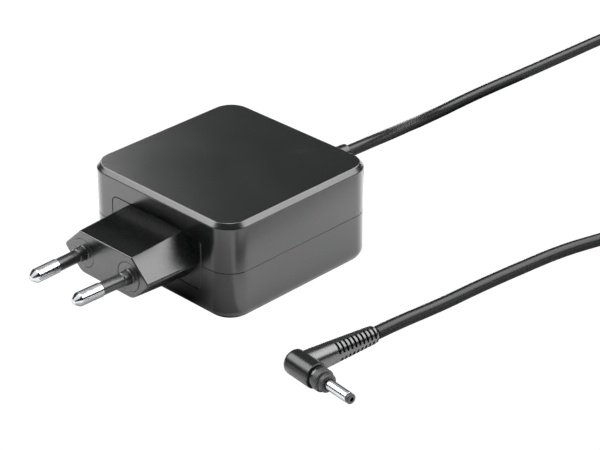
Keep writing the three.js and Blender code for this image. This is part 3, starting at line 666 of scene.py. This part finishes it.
def block_outline(y, inset):
    """Hexagonal section, drafted towards the front so that it leaves its mould."""
    part = max(0.0, (FRONT_Y - y) / BLOCK_LENGTH)
    half_z = BLOCK_ROOT_HALF_Z + (BLOCK_FRONT_HALF_Z - BLOCK_ROOT_HALF_Z) * part
    side = BLOCK_HALF_X * (1 - BLOCK_TAPER_X * part)
    flat = BLOCK_FLAT_HALF_X * (1 - BLOCK_TAPER_X * part)
    slant = math.hypot(side - flat, half_z)
    side -= inset * slant / half_z
    flat -= inset * (slant - (side - flat)) / half_z
    top = half_z - inset
    return soften([
        (flat, top, 0.35), (-flat, top, 0.35), (-side, 0, 0.9), (-flat, -top, 3.6),
        (flat, -top, 3.6), (side, 0, 0.9),
    ], closed=True, steps=6)


def pin_axis(side):
    """Root of a pin on the block's face and the direction it points in."""
    return (side * PIN_SPACING / 2, BLOCK_FRONT, PLUG_AXIS_Z), (
        -side * math.sin(PIN_LEAN), -math.cos(PIN_LEAN), 0)


# Polycarbonate from a polished mould: close to black, with a clean, even shine.
glossy_pc = moulded_plastic("glossy_moulded_pc", "0e0f0f", "101111", 0.27, 0.03, 0.2, 0.003)
block_profile = [
    (0, FRONT_Y + 1), (0, FRONT_Y - 4), (0, FRONT_Y - 11),
    *soften([(0, FRONT_Y - 11, 0), (0, BLOCK_FRONT, 0.3), (3, BLOCK_FRONT, 0)])[1:]]
block = piece("plug_head_block", loft([
    [(x, y, PLUG_AXIS_Z + up) for x, up in block_outline(y, inset)] for inset, y in block_profile
]), glossy_pc)
plate_rear = head_high.y
plate = tool_along_y(plate_outline, [
    (FRONT_Y, -EDGE_BREAK - 0.6), (FRONT_Y, -EDGE_BREAK), (FRONT_Y + EDGE_BREAK, 0),
    (plate_rear - 0.3, 0), (plate_rear, -0.3)], PLATE_AXIS_Z, glossy_pc)
combine(plate, [block], "UNION")


def pocket_outline(grow):
    return rounded_rectangle(PLATE_X - 4 + 2 * grow, PLATE_Z - 3.5 + 2 * grow, 1.5 + grow, 6)


seats = [tool_along_y(
    pocket_outline, [(FRONT_Y + 2, 0), (plate_rear + 1, 0)], PLATE_AXIS_Z)]
for side in (-1, 1):
    root, outward = pin_axis(side)
    seats.append(piece("tool", turned(
        [(2.5, -26), (2.5, -FLANGE_DEPTH), (FLANGE_R + 0.07, -FLANGE_DEPTH),
         (FLANGE_R + 0.07, -0.07), (FLANGE_R + 0.14, 0), (FLANGE_R + 0.14, 1)],
        root, outward, 56)))
combine(plate, seats)
plate.name = "plug_head_moulding"
fasten(plate, "plug_head", "plug_plastic", "plug_head_body")

# Back cover: a flat lid that snaps into the plate's pocket and holds the contacts.
cover_low, cover_high = (Vector(corner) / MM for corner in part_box("plug_head_back_cover"))
cover = tool_along_y(pocket_outline, [
    (cover_low.y, -0.3), (cover_high.y - 0.25, -0.3), (cover_high.y, -0.55)],
    PLATE_AXIS_Z, glossy_pc)
combine(cover, [
    block_tool(side * PIN_SPACING / 2 - 2.4, side * PIN_SPACING / 2 + 2.4,
               cover_low.y - 1, cover_high.y + 1, PLATE_AXIS_Z - 0.8, PLATE_AXIS_Z + 0.8)
    for side in (-1, 1)])
cover.name = "plug_head_lid"
fasten(cover, "plug_head", "plug_plastic", "plug_head_back_cover")

# ----------------
# Mains pins: turned brass, nickel plated, with a rounded conical tip. Each is thinner where a
# nylon sleeve with a round flange insulates it, as European flat plugs need.
PIN_R = 2.0
PIN_CORE_R = 1.2
SLEEVE_R = 1.85
SLEEVE_LENGTH = 9.7


def plated_metal(name, base, worn, roughness, turning_mm):
    """Nickel plate on turned brass: bright and cool, with faint tool marks and handling haze."""
    made, tree, place = new_material(name)
    haze, tint = drifting(tree, place, 2.5, base, worn, 3.0)
    marks = add(tree, "ShaderNodeTexNoise", {
        "Vector": place, "Scale": 1 / (turning_mm * MM), "Detail": 2.0})
    gloss = add(tree, "ShaderNodeMapRange", {0: haze, 3: roughness - 0.03, 4: roughness + 0.05})
    surface(tree, marks, 0.15, 0.002, {
        "Base Color": tint, "Metallic": 1.0, "Roughness": gloss,
        "Specular Tint": colour("8c8e90")})
    return made


nickel_plate = plated_metal("nickel_plated_brass", "a2a4a6", "989a9c", 0.2, 0.4)
bright_pieces = []
# Nylon: a little greyer and mattier than the moulding that it sits in.
sleeve_nylon = moulded_plastic("moulded_nylon_sleeve", "1a1b1b", "202121", 0.3, 0.04, 0.25, 0.006)
for name, side in (("left", -1), ("right", 1)):
    root, outward = pin_axis(side)
    pin = piece(f"pin_{name}", turned(soften([
        (0.2, -BLOCK_LENGTH - 3, 0), (PIN_CORE_R, -BLOCK_LENGTH - 3, 0.1),
        (PIN_CORE_R, SLEEVE_LENGTH + 0.1, 0), (PIN_R, SLEEVE_LENGTH + 0.1, 0.12),
        (PIN_R, PIN_LENGTH - 1.7, 1.2), (0.75, PIN_LENGTH, 0.6), (0.15, PIN_LENGTH, 0),
    ]), root, outward), nickel_plate)
    fasten(pin, "plug_head", "plated_metal", f"mains_pin_{name}")
    bright_pieces.append(pin)
    bore = PIN_CORE_R + 0.05
    sheath = piece(f"pin_insulation_{name}", turned(soften([
        (bore, SLEEVE_LENGTH, 0), (SLEEVE_R, SLEEVE_LENGTH, 0.1), (SLEEVE_R, 2.7, 0.3),
        (SLEEVE_R + 0.2, 2.4, 0.3), (SLEEVE_R + 0.3, 0.06, 0.3), (FLANGE_R, 0.06, 0.08),
        (FLANGE_R, 0.25 - FLANGE_DEPTH, 0), (2.35, 0.25 - FLANGE_DEPTH, 0), (2.35, -12, 0),
        (bore, -12, 0)], steps=4), root, outward, hollow=True), sleeve_nylon)
    fasten(sheath, "plug_head", "soft_plastic", f"pin_sleeve_{name}")

# ----------------
# Output plug: a right-angled barrel plug. The elbow cap and the boot are soft black mouldings,
# one clipped over the other, and the boot has rows of slots so that it bends with the cord.
DC_PLACE = Matrix.Translation((59.6, -32.4, 3.65)) @ Matrix.Rotation(math.radians(-6.6), 4, "Z")
DC_PLACE_METRES = Matrix.Translation(DC_PLACE.translation * MM) @ DC_PLACE.to_3x3().to_4x4()
ELBOW_R = 3.65
ELBOW_REAR = 3.4
ELBOW_FRONT = 7.0
BOOT_X = 0.4
BOOT_START = 1.0
BOOT_END = 25.2
BOOT_HALF = 3.45
BOOT_TAPER = 1.0
BOOT_END_ROUND = 0.9
BOOT_SQUARENESS = 2.15
BARREL_R = 1.5
BARREL_BORE_R = 1.15
BARREL_END = 19.8
TIP_R = 1.45
TIP_END = BARREL_END + 1.2
RING_R = 2.95
RING_START = ELBOW_FRONT + 0.05
RING_END = ELBOW_FRONT + 1.15
NOSE_R = 3.2
NOSE_NECK_R = 2.6
NOSE_END = 11.8
SLOT_PITCH = 1.42
SLOT_BAR = (2.4, 0.72, 3.3)
SLOT_DEPTH = 1.0
SLOT_COUNT = 10
SLOT_FIRST_Y = 10.9
SLOT_DRAW_IN = 0.062


def plug_turned(profile, steps=48, hollow=False):
    """Turned form on the plug's own axis, along the barrel."""
    form = turned(profile, (0, 0, 0), (1, 0, 0), steps, hollow)
    form.transform(DC_PLACE_METRES)
    return form


elbow = piece("plug_elbow_cap", plug_turned(soften([
    (0.4, -ELBOW_REAR, 0), (ELBOW_R, -ELBOW_REAR, 2.9), (ELBOW_R, ELBOW_FRONT, 0.3),
    (2.5, ELBOW_FRONT, 0), (2.5, 3, 0), (0.4, 3, 0)], steps=8), 64), firm_tpe)
fasten(elbow, "adapter", "plug_plastic", "output_plug_elbow")


def boot_ring(y, half):
    """Section of the boot: a circle made a little square."""
    ring = []
    for i in range(56):
        angle = math.tau * i / 56
        c, s = math.cos(angle), math.sin(angle)
        reach = half * (abs(c) ** BOOT_SQUARENESS + abs(s) ** BOOT_SQUARENESS) ** (
            -1 / BOOT_SQUARENESS)
        ring.append((BOOT_X + c * reach, y, s * reach))
    return ring


def boot_half(y):
    """Half thickness of the boot, which tapers in a nearly straight line to the cord."""
    part = (y - BOOT_START) / (BOOT_END - BOOT_START)
    return BOOT_HALF - BOOT_TAPER * part ** 1.15


straight_end = BOOT_END - BOOT_END_ROUND
boot_rows = [
    boot_ring(y, boot_half(y))
    for y in [BOOT_START + i * (straight_end - BOOT_START) / 22 for i in range(23)]]
for turn_step in range(1, 6):
    bend = math.radians(90 * turn_step / 5)
    y = straight_end + BOOT_END_ROUND * math.sin(bend)
    boot_rows.append(boot_ring(y, boot_half(y) - 0.75 * (1 - math.cos(bend))))
# The boot is a softer grade than the cap, and polished in the tool.
soft_tpe = soft_pvc("moulded_soft_tpe", "121313", "171818", 0.7, 0.26, 0.35, 0.005, 0.3)
boot = piece("plug_boot", loft(boot_rows, DC_PLACE), soft_tpe)
combine(boot, [piece("tool", plug_turned([(ELBOW_R + 0.04, -8), (ELBOW_R + 0.04, 9)], 64))])


def new_tree(name, inputs):
    """A Geometry Nodes tree with an input for each label and its kind, and one for the material.
    Returns the tree, its inputs' identifiers and the sockets that they give."""
    tree = bpy.data.node_groups.new(name, "GeometryNodeTree")
    identifiers = {
        label: tree.interface.new_socket(
            label, in_out="INPUT", socket_type=f"NodeSocket{kind}").identifier
        for label, kind in {**inputs, "Material": "Material"}.items()}
    tree.interface.new_socket("Geometry", in_out="OUTPUT", socket_type="NodeSocketGeometry")
    return tree, identifiers, add(tree, "NodeGroupInput").outputs


def repeat(tree, given, count, step, shape, smooth=True, turn=(0, 0, 0)):
    """Ends a tree: the shape stands at each step of a line, made real and given its material."""
    line = add(tree, "GeometryNodeMeshLine", {
        "Count": count, "Start Location": given["Start"], "Offset": step}, mode="OFFSET")
    spread = add(tree, "GeometryNodeInstanceOnPoints", {
        "Points": line, "Instance": shape, "Rotation": turn})
    solid = add(tree, "GeometryNodeRealizeInstances", {0: spread})
    shaded = add(tree, "GeometryNodeSetShadeSmooth", {0: solid, "Shade Smooth": smooth})
    dressed = add(tree, "GeometryNodeSetMaterial", {
        "Geometry": shaded, "Material": given["Material"]})
    add(tree, "NodeGroupOutput", {0: dressed})


def slot_row_tree():
    """Row of slot cutters along +Y: a bar repeated at an even pitch, each one a little nearer to
    the axis than the last, to follow the taper."""
    tree, identifiers, given = new_tree("slot_row", {
        "Count": "Int", "Pitch": "Float", "Draw in": "Float", "Bar": "Vector", "Start": "Vector"})
    step = add(tree, "ShaderNodeCombineXYZ", {0: given["Draw in"], 1: given["Pitch"]})
    bar = add(tree, "GeometryNodeMeshCube", {"Size": given["Bar"]})
    repeat(tree, given, given["Count"], step, bar, smooth=False)
    return tree, identifiers


def grown(name, tree, identifiers, values, material):
    """Runs a tree on an empty mesh, with values by label, and keeps a plain object."""
    made = new_object(name, bpy.data.meshes.new(name))
    step = made.modifiers.new("grow", "NODES")
    step.node_group = tree
    for label, value in {**values, "Material": material}.items():
        step[identifiers[label]] = value
    bake(made)
    return made


slot_tree = slot_row_tree()


def slot_row(around, first_y):
    """Cutters for one row of slots, at an angle round the boot's axis from its +X side."""
    reach = boot_half(first_y) - SLOT_DEPTH + SLOT_BAR[0] / 2
    row = grown("tool", *slot_tree, {
        "Count": SLOT_COUNT, "Pitch": SLOT_PITCH * MM, "Draw in": -SLOT_DRAW_IN * MM,
        "Bar": [v * MM for v in SLOT_BAR], "Start": (reach * MM, first_y * MM, 0)}, soft_tpe)
    row.data.transform(Matrix.Rotation(math.radians(-around), 4, "Y"))
    row.data.transform(Matrix.Translation((BOOT_X * MM, 0, 0)))
    row.data.transform(DC_PLACE_METRES)
    return row


for around, first_y in ((45, SLOT_FIRST_Y), (135, SLOT_FIRST_Y + SLOT_PITCH / 2)):
    combine(boot, [slot_row(around, first_y), slot_row(around + 180, first_y)])
fasten(boot, "adapter", "soft_plastic", "output_plug_boot")

ring = piece("plug_ring", plug_turned(soften([
    (2.55, RING_START, 0), (RING_R, RING_START, 0.1), (RING_R, RING_END, 0.1),
    (2.55, RING_END, 0)], steps=4), 64, hollow=True), glossy_pc)
fasten(ring, "adapter", "plug_plastic", "output_plug_ring")
# The inner body is hard polyester, moulded in a spark-eroded tool: matt, with no clear highlight.
matt_pbt = moulded_plastic("matt_moulded_pbt", "0d0e0e", "101111", 0.55, 0.04, 0.15, 0.004)
nose = piece("plug_nose", plug_turned(soften([
    (1.6, 3.3, 0), (2.2, 3.3, 0), (2.2, 8.2, 0), (NOSE_R, 8.2, 0.2), (NOSE_R, 10.1, 0.4),
    (NOSE_NECK_R, 10.3, 0), (NOSE_NECK_R, NOSE_END, 0.35), (1.6, NOSE_END, 0)], steps=4),
    56, hollow=True), matt_pbt)
fasten(nose, "adapter", "soft_plastic", "output_plug_nose")
barrel = piece("plug_barrel", plug_turned(soften([
    (BARREL_BORE_R, 4, 0), (BARREL_R, 4, 0.1), (BARREL_R, BARREL_END, 0.12),
    (BARREL_BORE_R, BARREL_END, 0.05)], steps=3), hollow=True), nickel_plate)
fasten(barrel, "adapter", "plated_metal", "output_plug_barrel")
for lamp in (metal_card, tip_card):
    link_light(lamp, "INCLUDE", [*bright_pieces, barrel])
link_light(left_box, "EXCLUDE", bright_pieces)
tip = piece("plug_tip_insulator", plug_turned(soften([
    (0.6, 12, 0), (0.95, 12, 0), (0.95, BARREL_END + 0.06, 0), (TIP_R, BARREL_END + 0.06, 0.08),
    (TIP_R, TIP_END, 0.4), (0.6, TIP_END, 0.12)], steps=4), hollow=True), matt_pbt)
fasten(tip, "adapter", "soft_plastic", "output_plug_tip_insulator")

# ----------------
# Cord tie: a woven hook-and-loop strap that holds the coil. It wraps once round the bundle and
# closes on itself, with its free end on the outside.
tie_low, tie_high = (Vector(corner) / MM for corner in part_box("cord_tie"))
STRAP_THICK = 0.45
STRAP_HALF_WIDTH = 3.9
STRAP_SECTION = (
    (-1, 0.3), (-0.96, 0), (0.96, 0), (1, 0.3), (1, 0.7), (0.96, 1), (-0.96, 1), (-1, 0.7))
tie_centre = (tie_low + tie_high) / 2
tie_width = tie_high.x - tie_low.x
tie_height = tie_high.z - tie_low.z


def strap_path(outer):
    """Rounded path round the bundle, inset from the space that the strap may fill."""
    return rounded_rectangle(tie_width - 2 * outer, tie_height - 2 * outer, 2.4, 8)


def strap_form(points_in, points_out, closed):
    """Strap section with slightly rounded selvedges, along two parallel paths."""
    rings = []
    for (xi, zi), (xo, zo) in zip(points_in, points_out):
        rings.append([
            (tie_centre.x + xi + (xo - xi) * through, tie_centre.y + across * STRAP_HALF_WIDTH,
             tie_centre.z + zi + (zo - zi) * through) for across, through in STRAP_SECTION])
    return loft(rings, hollow=closed)


def hook_and_loop():
    """Brushed nylon loop cloth: matt black with a nap of fine fibres and a soft sheen."""
    made, tree, place = new_material("brushed_nylon_loop_cloth")
    ribs = add(tree, "ShaderNodeTexWave", {
        "Vector": place, "Scale": 1 / (2.2 * MM), "Distortion": 2.5, "Detail": 2.0},
        bands_direction="Y")
    nap = add(tree, "ShaderNodeTexNoise", {
        "Vector": place, "Scale": 1 / (0.4 * MM), "Detail": 4.0})
    fibre = add(tree, "ShaderNodeMix", {0: 0.6, 2: ribs.outputs["Fac"], 3: nap})
    tint = add(tree, "ShaderNodeMix", {
        0: fibre, 6: colour("0c0c0d"), 7: colour("26272a")}, data_type="RGBA")
    surface(tree, fibre, 0.8, 0.12, {
        "Base Color": tint.outputs[2], "Roughness": 0.85, "Sheen Weight": 0.35,
        "Sheen Roughness": 0.4})
    return made


inner_path = strap_path(2 * STRAP_THICK)
middle_path = strap_path(STRAP_THICK)
outer_path = strap_path(0)
strap = strap_form(inner_path, middle_path, True)
FREE_END = slice(len(inner_path) // 4, len(inner_path) * 3 // 5)
flap = strap_form(middle_path[FREE_END], outer_path[FREE_END], False)
flap_mesh = bpy.data.meshes.new("flap")
flap.to_mesh(flap_mesh)
strap.from_mesh(flap_mesh)
tie = piece("coil_strap", strap, hook_and_loop())
fasten(tie, "adapter", "hook_and_loop", "cord_tie")

# ----------------
# Metal contacts: stamped strips of phosphor bronze, bent on a press. They stay bright inside the
# closed housing, with a little tarnish.


def dress(material, *names):
    """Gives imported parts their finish."""
    for name in names:
        for material_slot in nodes[name].material_slots:
            material_slot.material = material


def mottled(name, base, shade, cell_mm, roughness, spread, relief_mm, metallic=0.0):
    """Finish of a small part: its colour drifts between two shades over cells of a given size,
    and its gloss and surface follow the same cells."""
    made, tree, place = new_material(name)
    cells, tint = drifting(tree, place, cell_mm, base, shade, 4.0)
    gloss = add(tree, "ShaderNodeMapRange", {
        0: cells, 3: roughness - spread, 4: roughness + spread})
    surface(tree, cells, 0.4, relief_mm, {
        "Base Color": tint, "Metallic": metallic, "Roughness": gloss, "IOR": 1.5})
    return made


# Phosphor bronze strip: warm pink-gold metal, dulled in patches by tarnish.
bronze = mottled("stamped_phosphor_bronze", "c08a5a", "9a6a42", 1.5, 0.3, 0.08, 0.01, 1.0)
dress(bronze, "socket_spring_left", "socket_spring_right", "contact_blade_left",
      "contact_blade_right", "output_plug_centre_contact")

# ----------------
# Socket well and transformer bobbin: dark heat-resistant polyamide, moulded, with glass fibre
# that shows as a faint streaky mattness. The well is welded into the housing.
glass_filled = mottled("moulded_glass_filled_polyamide", "232527", "303336", 0.6, 0.55, 0.1, 0.02)
dress(glass_filled, "socket_well", "transformer_bobbin")

# ----------------
# Circuit board: single-sided phenolic laminate with a green solder mask over its copper tracks,
# on four posts, above a film of insulation. Solder cones hold each part's legs underneath.


def board_laminate():
    """Solder mask over etched copper: glossy green, lighter where a track lies under it."""
    made, tree, place = new_material("solder_masked_laminate")
    fields = add(tree, "ShaderNodeTexVoronoi", {
        "Vector": place, "Scale": 1 / (7 * MM), "Randomness": 0.7},
        feature="DISTANCE_TO_EDGE", distance="EUCLIDEAN")
    tracks = add(tree, "ShaderNodeMapRange", {0: fields.outputs["Distance"], 1: 0.07, 2: 0.09})
    tint = add(tree, "ShaderNodeMix", {
        0: tracks, 6: colour("2c4a26"), 7: colour("47703a")}, data_type="RGBA")
    surface(tree, tracks, 0.6, 0.035, {
        "Base Color": tint.outputs[2], "Roughness": 0.3, "IOR": 1.52})
    return made


dress(board_laminate(), "circuit_board")
# Polyester film: amber, faintly cloudy, smooth.
dress(mottled("amber_polyester_film", "cfc48c", "bfb27a", 9, 0.35, 0.06, 0.01),
      "insulation_sheet")
solder = mottled("tin_solder", "c9ccd0", "a9adb2", 0.5, 0.28, 0.08, 0.02, 1.0)
BOARD_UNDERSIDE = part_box("circuit_board")[0][2] / MM
LEG_ROW_PITCH = 5.08
SOLDER_FOOT_R = 0.8


def solder_tree():
    """Row of solder cones along +X, each with its foot on the board."""
    tree, identifiers, given = new_tree("solder_rows", {
        "Count": "Int", "Pitch": "Float", "Foot": "Float", "Start": "Vector"})
    step = add(tree, "ShaderNodeCombineXYZ", {0: given["Pitch"]})
    height = add(tree, "ShaderNodeMath", {0: given["Foot"], 1: 1.1}, operation="MULTIPLY")
    top = add(tree, "ShaderNodeMath", {0: given["Foot"], 1: 0.35}, operation="MULTIPLY")
    cone = add(tree, "GeometryNodeMeshCone", {
        "Vertices": 12, "Radius Top": top, "Radius Bottom": given["Foot"], "Depth": height})
    repeat(tree, given, given["Count"], step, cone, turn=(math.pi, 0, 0))
    return tree, identifiers


solder_rows = solder_tree()
for number, (start_x, row_y, count) in enumerate((
        (-19, -12.3, 8), (-20.3, -5, 2), (9.9, -0.2, 2), (-8.1, 2.4, 3), (-19.6, 15, 1),
        (-18, 21.8, 2), (12.4, 15, 1), (8.4, 21.8, 3))):
    joints = grown(f"solder_joints_{number + 1}", *solder_rows, {
        "Count": count, "Pitch": LEG_ROW_PITCH * MM, "Foot": SOLDER_FOOT_R * MM,
        "Start": [start_x * MM, row_y * MM, (BOARD_UNDERSIDE - 0.02) * MM]}, solder)
    fasten(joints, "adapter", "plated_metal")

# ----------------
# Wound parts: ferrite cores with enamelled copper wire in close turns. The turns are varnished,
# so they shine deep orange between their dark gaps.
ferrite = mottled("sintered_ferrite", "2e3033", "3d4043", 0.5, 0.55, 0.12, 0.02)
dress(ferrite, "line_choke_core", "transformer_core")
enamel = mottled("enamelled_copper_wire", "b5642c", "8f4a1e", 1.2, 0.24, 0.06, 0.004, 0.85)
WIRE_R = 0.22
TURN_SPACING = 2.02


def turns_tree():
    """Close turns of round wire: one rounded loop repeated up the bobbin."""
    tree, identifiers, given = new_tree("wire_turns", {
        "Turns": "Int", "Width": "Float", "Depth": "Float", "Corner": "Float",
        "Wire radius": "Float", "Start": "Vector"})
    loop = add(tree, "GeometryNodeCurvePrimitiveQuadrilateral", {
        "Width": given["Width"], "Height": given["Depth"]}, mode="RECTANGLE")
    round_loop = add(tree, "GeometryNodeFilletCurve", {
        "Curve": loop, "Radius": given["Corner"], "Count": 8}, mode="POLY")
    wire = add(tree, "GeometryNodeCurvePrimitiveCircle", {
        "Resolution": 8, "Radius": given["Wire radius"]})
    turn = add(tree, "GeometryNodeCurveToMesh", {0: round_loop, "Profile Curve": wire})
    pitch = add(tree, "ShaderNodeMath", {
        0: given["Wire radius"], 1: TURN_SPACING}, operation="MULTIPLY")
    step = add(tree, "ShaderNodeCombineXYZ", {2: pitch})
    repeat(tree, given, given["Turns"], step, turn)
    return tree, identifiers


wire_turns = turns_tree()
for name, corner in (("transformer_winding", 2.3), ("line_choke_winding", None)):
    low, high = (Vector(v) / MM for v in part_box(name))
    centre = (low + high) / 2
    width = high.x - low.x - 2 * WIRE_R
    depth = high.y - low.y - 2 * WIRE_R
    winding = grown(name.replace("winding", "wire"), *wire_turns, {
        "Turns": int((high.z - low.z) / (TURN_SPACING * WIRE_R)),
        "Width": width * MM, "Depth": depth * MM,
        "Corner": (corner or 0.498 * min(width, depth)) * MM, "Wire radius": WIRE_R * MM,
        "Start": [centre.x * MM, centre.y * MM, (low.z + WIRE_R) * MM]}, enamel)
    fasten(winding, "adapter", "copper", name)

# ----------------
# Heat sinks and spreader: bent strips of rolled aluminium, fixed to the parts that they cool.
# Rolling leaves fine lines along Y.


def rolled_aluminium():
    """Mill-finish sheet: pale grey, with rolling lines that stretch its highlights."""
    made, tree, place = new_material("rolled_aluminium")
    stretch = add(tree, "ShaderNodeMapping", {"Vector": place, "Scale": (1, 0.04, 1)})
    lines, tint = drifting(tree, stretch, 0.3, "c2c6ca", "aab0b5", 3.0)
    gloss = add(tree, "ShaderNodeMapRange", {0: lines, 3: 0.28, 4: 0.44})
    surface(tree, lines, 0.3, 0.01, {"Base Color": tint, "Metallic": 1.0, "Roughness": gloss})
    return made


dress(rolled_aluminium(), "primary_heat_sink", "secondary_heat_sink", "heat_spreader")

# ----------------
# Electrolytic capacitors: aluminium cans in a shrunk PET sleeve, with a pale stripe along the
# negative side. They stand soldered on the board.
STRIPE_HALF_ANGLE = 0.32


def capacitor_sleeve(can, base, stripe):
    """Shrunk PET film: glossy, slightly uneven, with the stripe that marks the negative leg."""
    low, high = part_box(can)
    middle = [-(a + b) / 2 for a, b in zip(low, high)]
    made, tree, place = new_material(f"shrunk_pet_sleeve_{can}")
    centred = add(tree, "ShaderNodeMapping", {"Vector": place, "Location": middle})
    parts = add(tree, "ShaderNodeSeparateXYZ", {0: centred})
    around = add(tree, "ShaderNodeMath", {
        0: parts.outputs["Y"], 1: parts.outputs["X"]}, operation="ARCTAN2")
    from_side = add(tree, "ShaderNodeMath", {0: around}, operation="ABSOLUTE")
    marked = add(tree, "ShaderNodeMath", {
        0: from_side, 1: STRIPE_HALF_ANGLE}, operation="LESS_THAN")
    shrink = add(tree, "ShaderNodeTexNoise", {
        "Vector": place, "Scale": 1 / (3 * MM), "Detail": 2.0})
    tint = add(tree, "ShaderNodeMix", {
        0: marked, 6: colour(base), 7: colour(stripe)}, data_type="RGBA")
    surface(tree, shrink, 0.3, 0.05, {
        "Base Color": tint.outputs[2], "Roughness": 0.25, "IOR": 1.57})
    return made


for can, base, stripe in (
        ("bulk_capacitor", "20283f", "b9bfca"), ("output_capacitor_1", "1f4a3c", "c9b765"),
        ("output_capacitor_2", "1f4a3c", "c9b765")):
    dress(capacitor_sleeve(can, base, stripe), can)

# ----------------
# Small parts on the board: each in ceramic, dipped epoxy or silicone, a moulded case or PVC wire
# insulation. A row gives the finish's values and the parts that have it.
for *finish, parts in (
        ("glazed_ceramic_tube", "d2cbb6", "beb59c", 2.5, 0.3, 0.08, 0.02, ["fuse"]),
        ("dipped_green_silicone", "2b5a44", "376b52", 1.2, 0.45, 0.08, 0.06,
         ["inrush_thermistor"]),
        ("moulded_yellow_pbt_case", "cfa428", "bd9222", 3, 0.38, 0.05, 0.015,
         ["suppression_capacitor"]),
        ("dipped_blue_epoxy", "2868a0", "215a8c", 1.5, 0.3, 0.07, 0.05, ["safety_capacitor"]),
        ("moulded_white_epoxy", "dcdcd6", "cfcfc8", 0.8, 0.5, 0.06, 0.015, ["optocoupler"]),
        ("moulded_epoxy_case", "1c1d1f", "27292b", 0.4, 0.45, 0.08, 0.015,
         ["bridge_rectifier", "switching_transistor", "output_rectifier", "controller_ic"]),
        ("red_pvc_insulation", "b02a24", "9c241f", 2, 0.4, 0.06, 0.02, ["output_lead_positive"]),
        ("black_pvc_insulation", "1a1a1a", "242424", 2, 0.4, 0.06, 0.02,
         ["output_lead_negative"])):
    dress(mottled(*finish), *parts)

low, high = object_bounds()
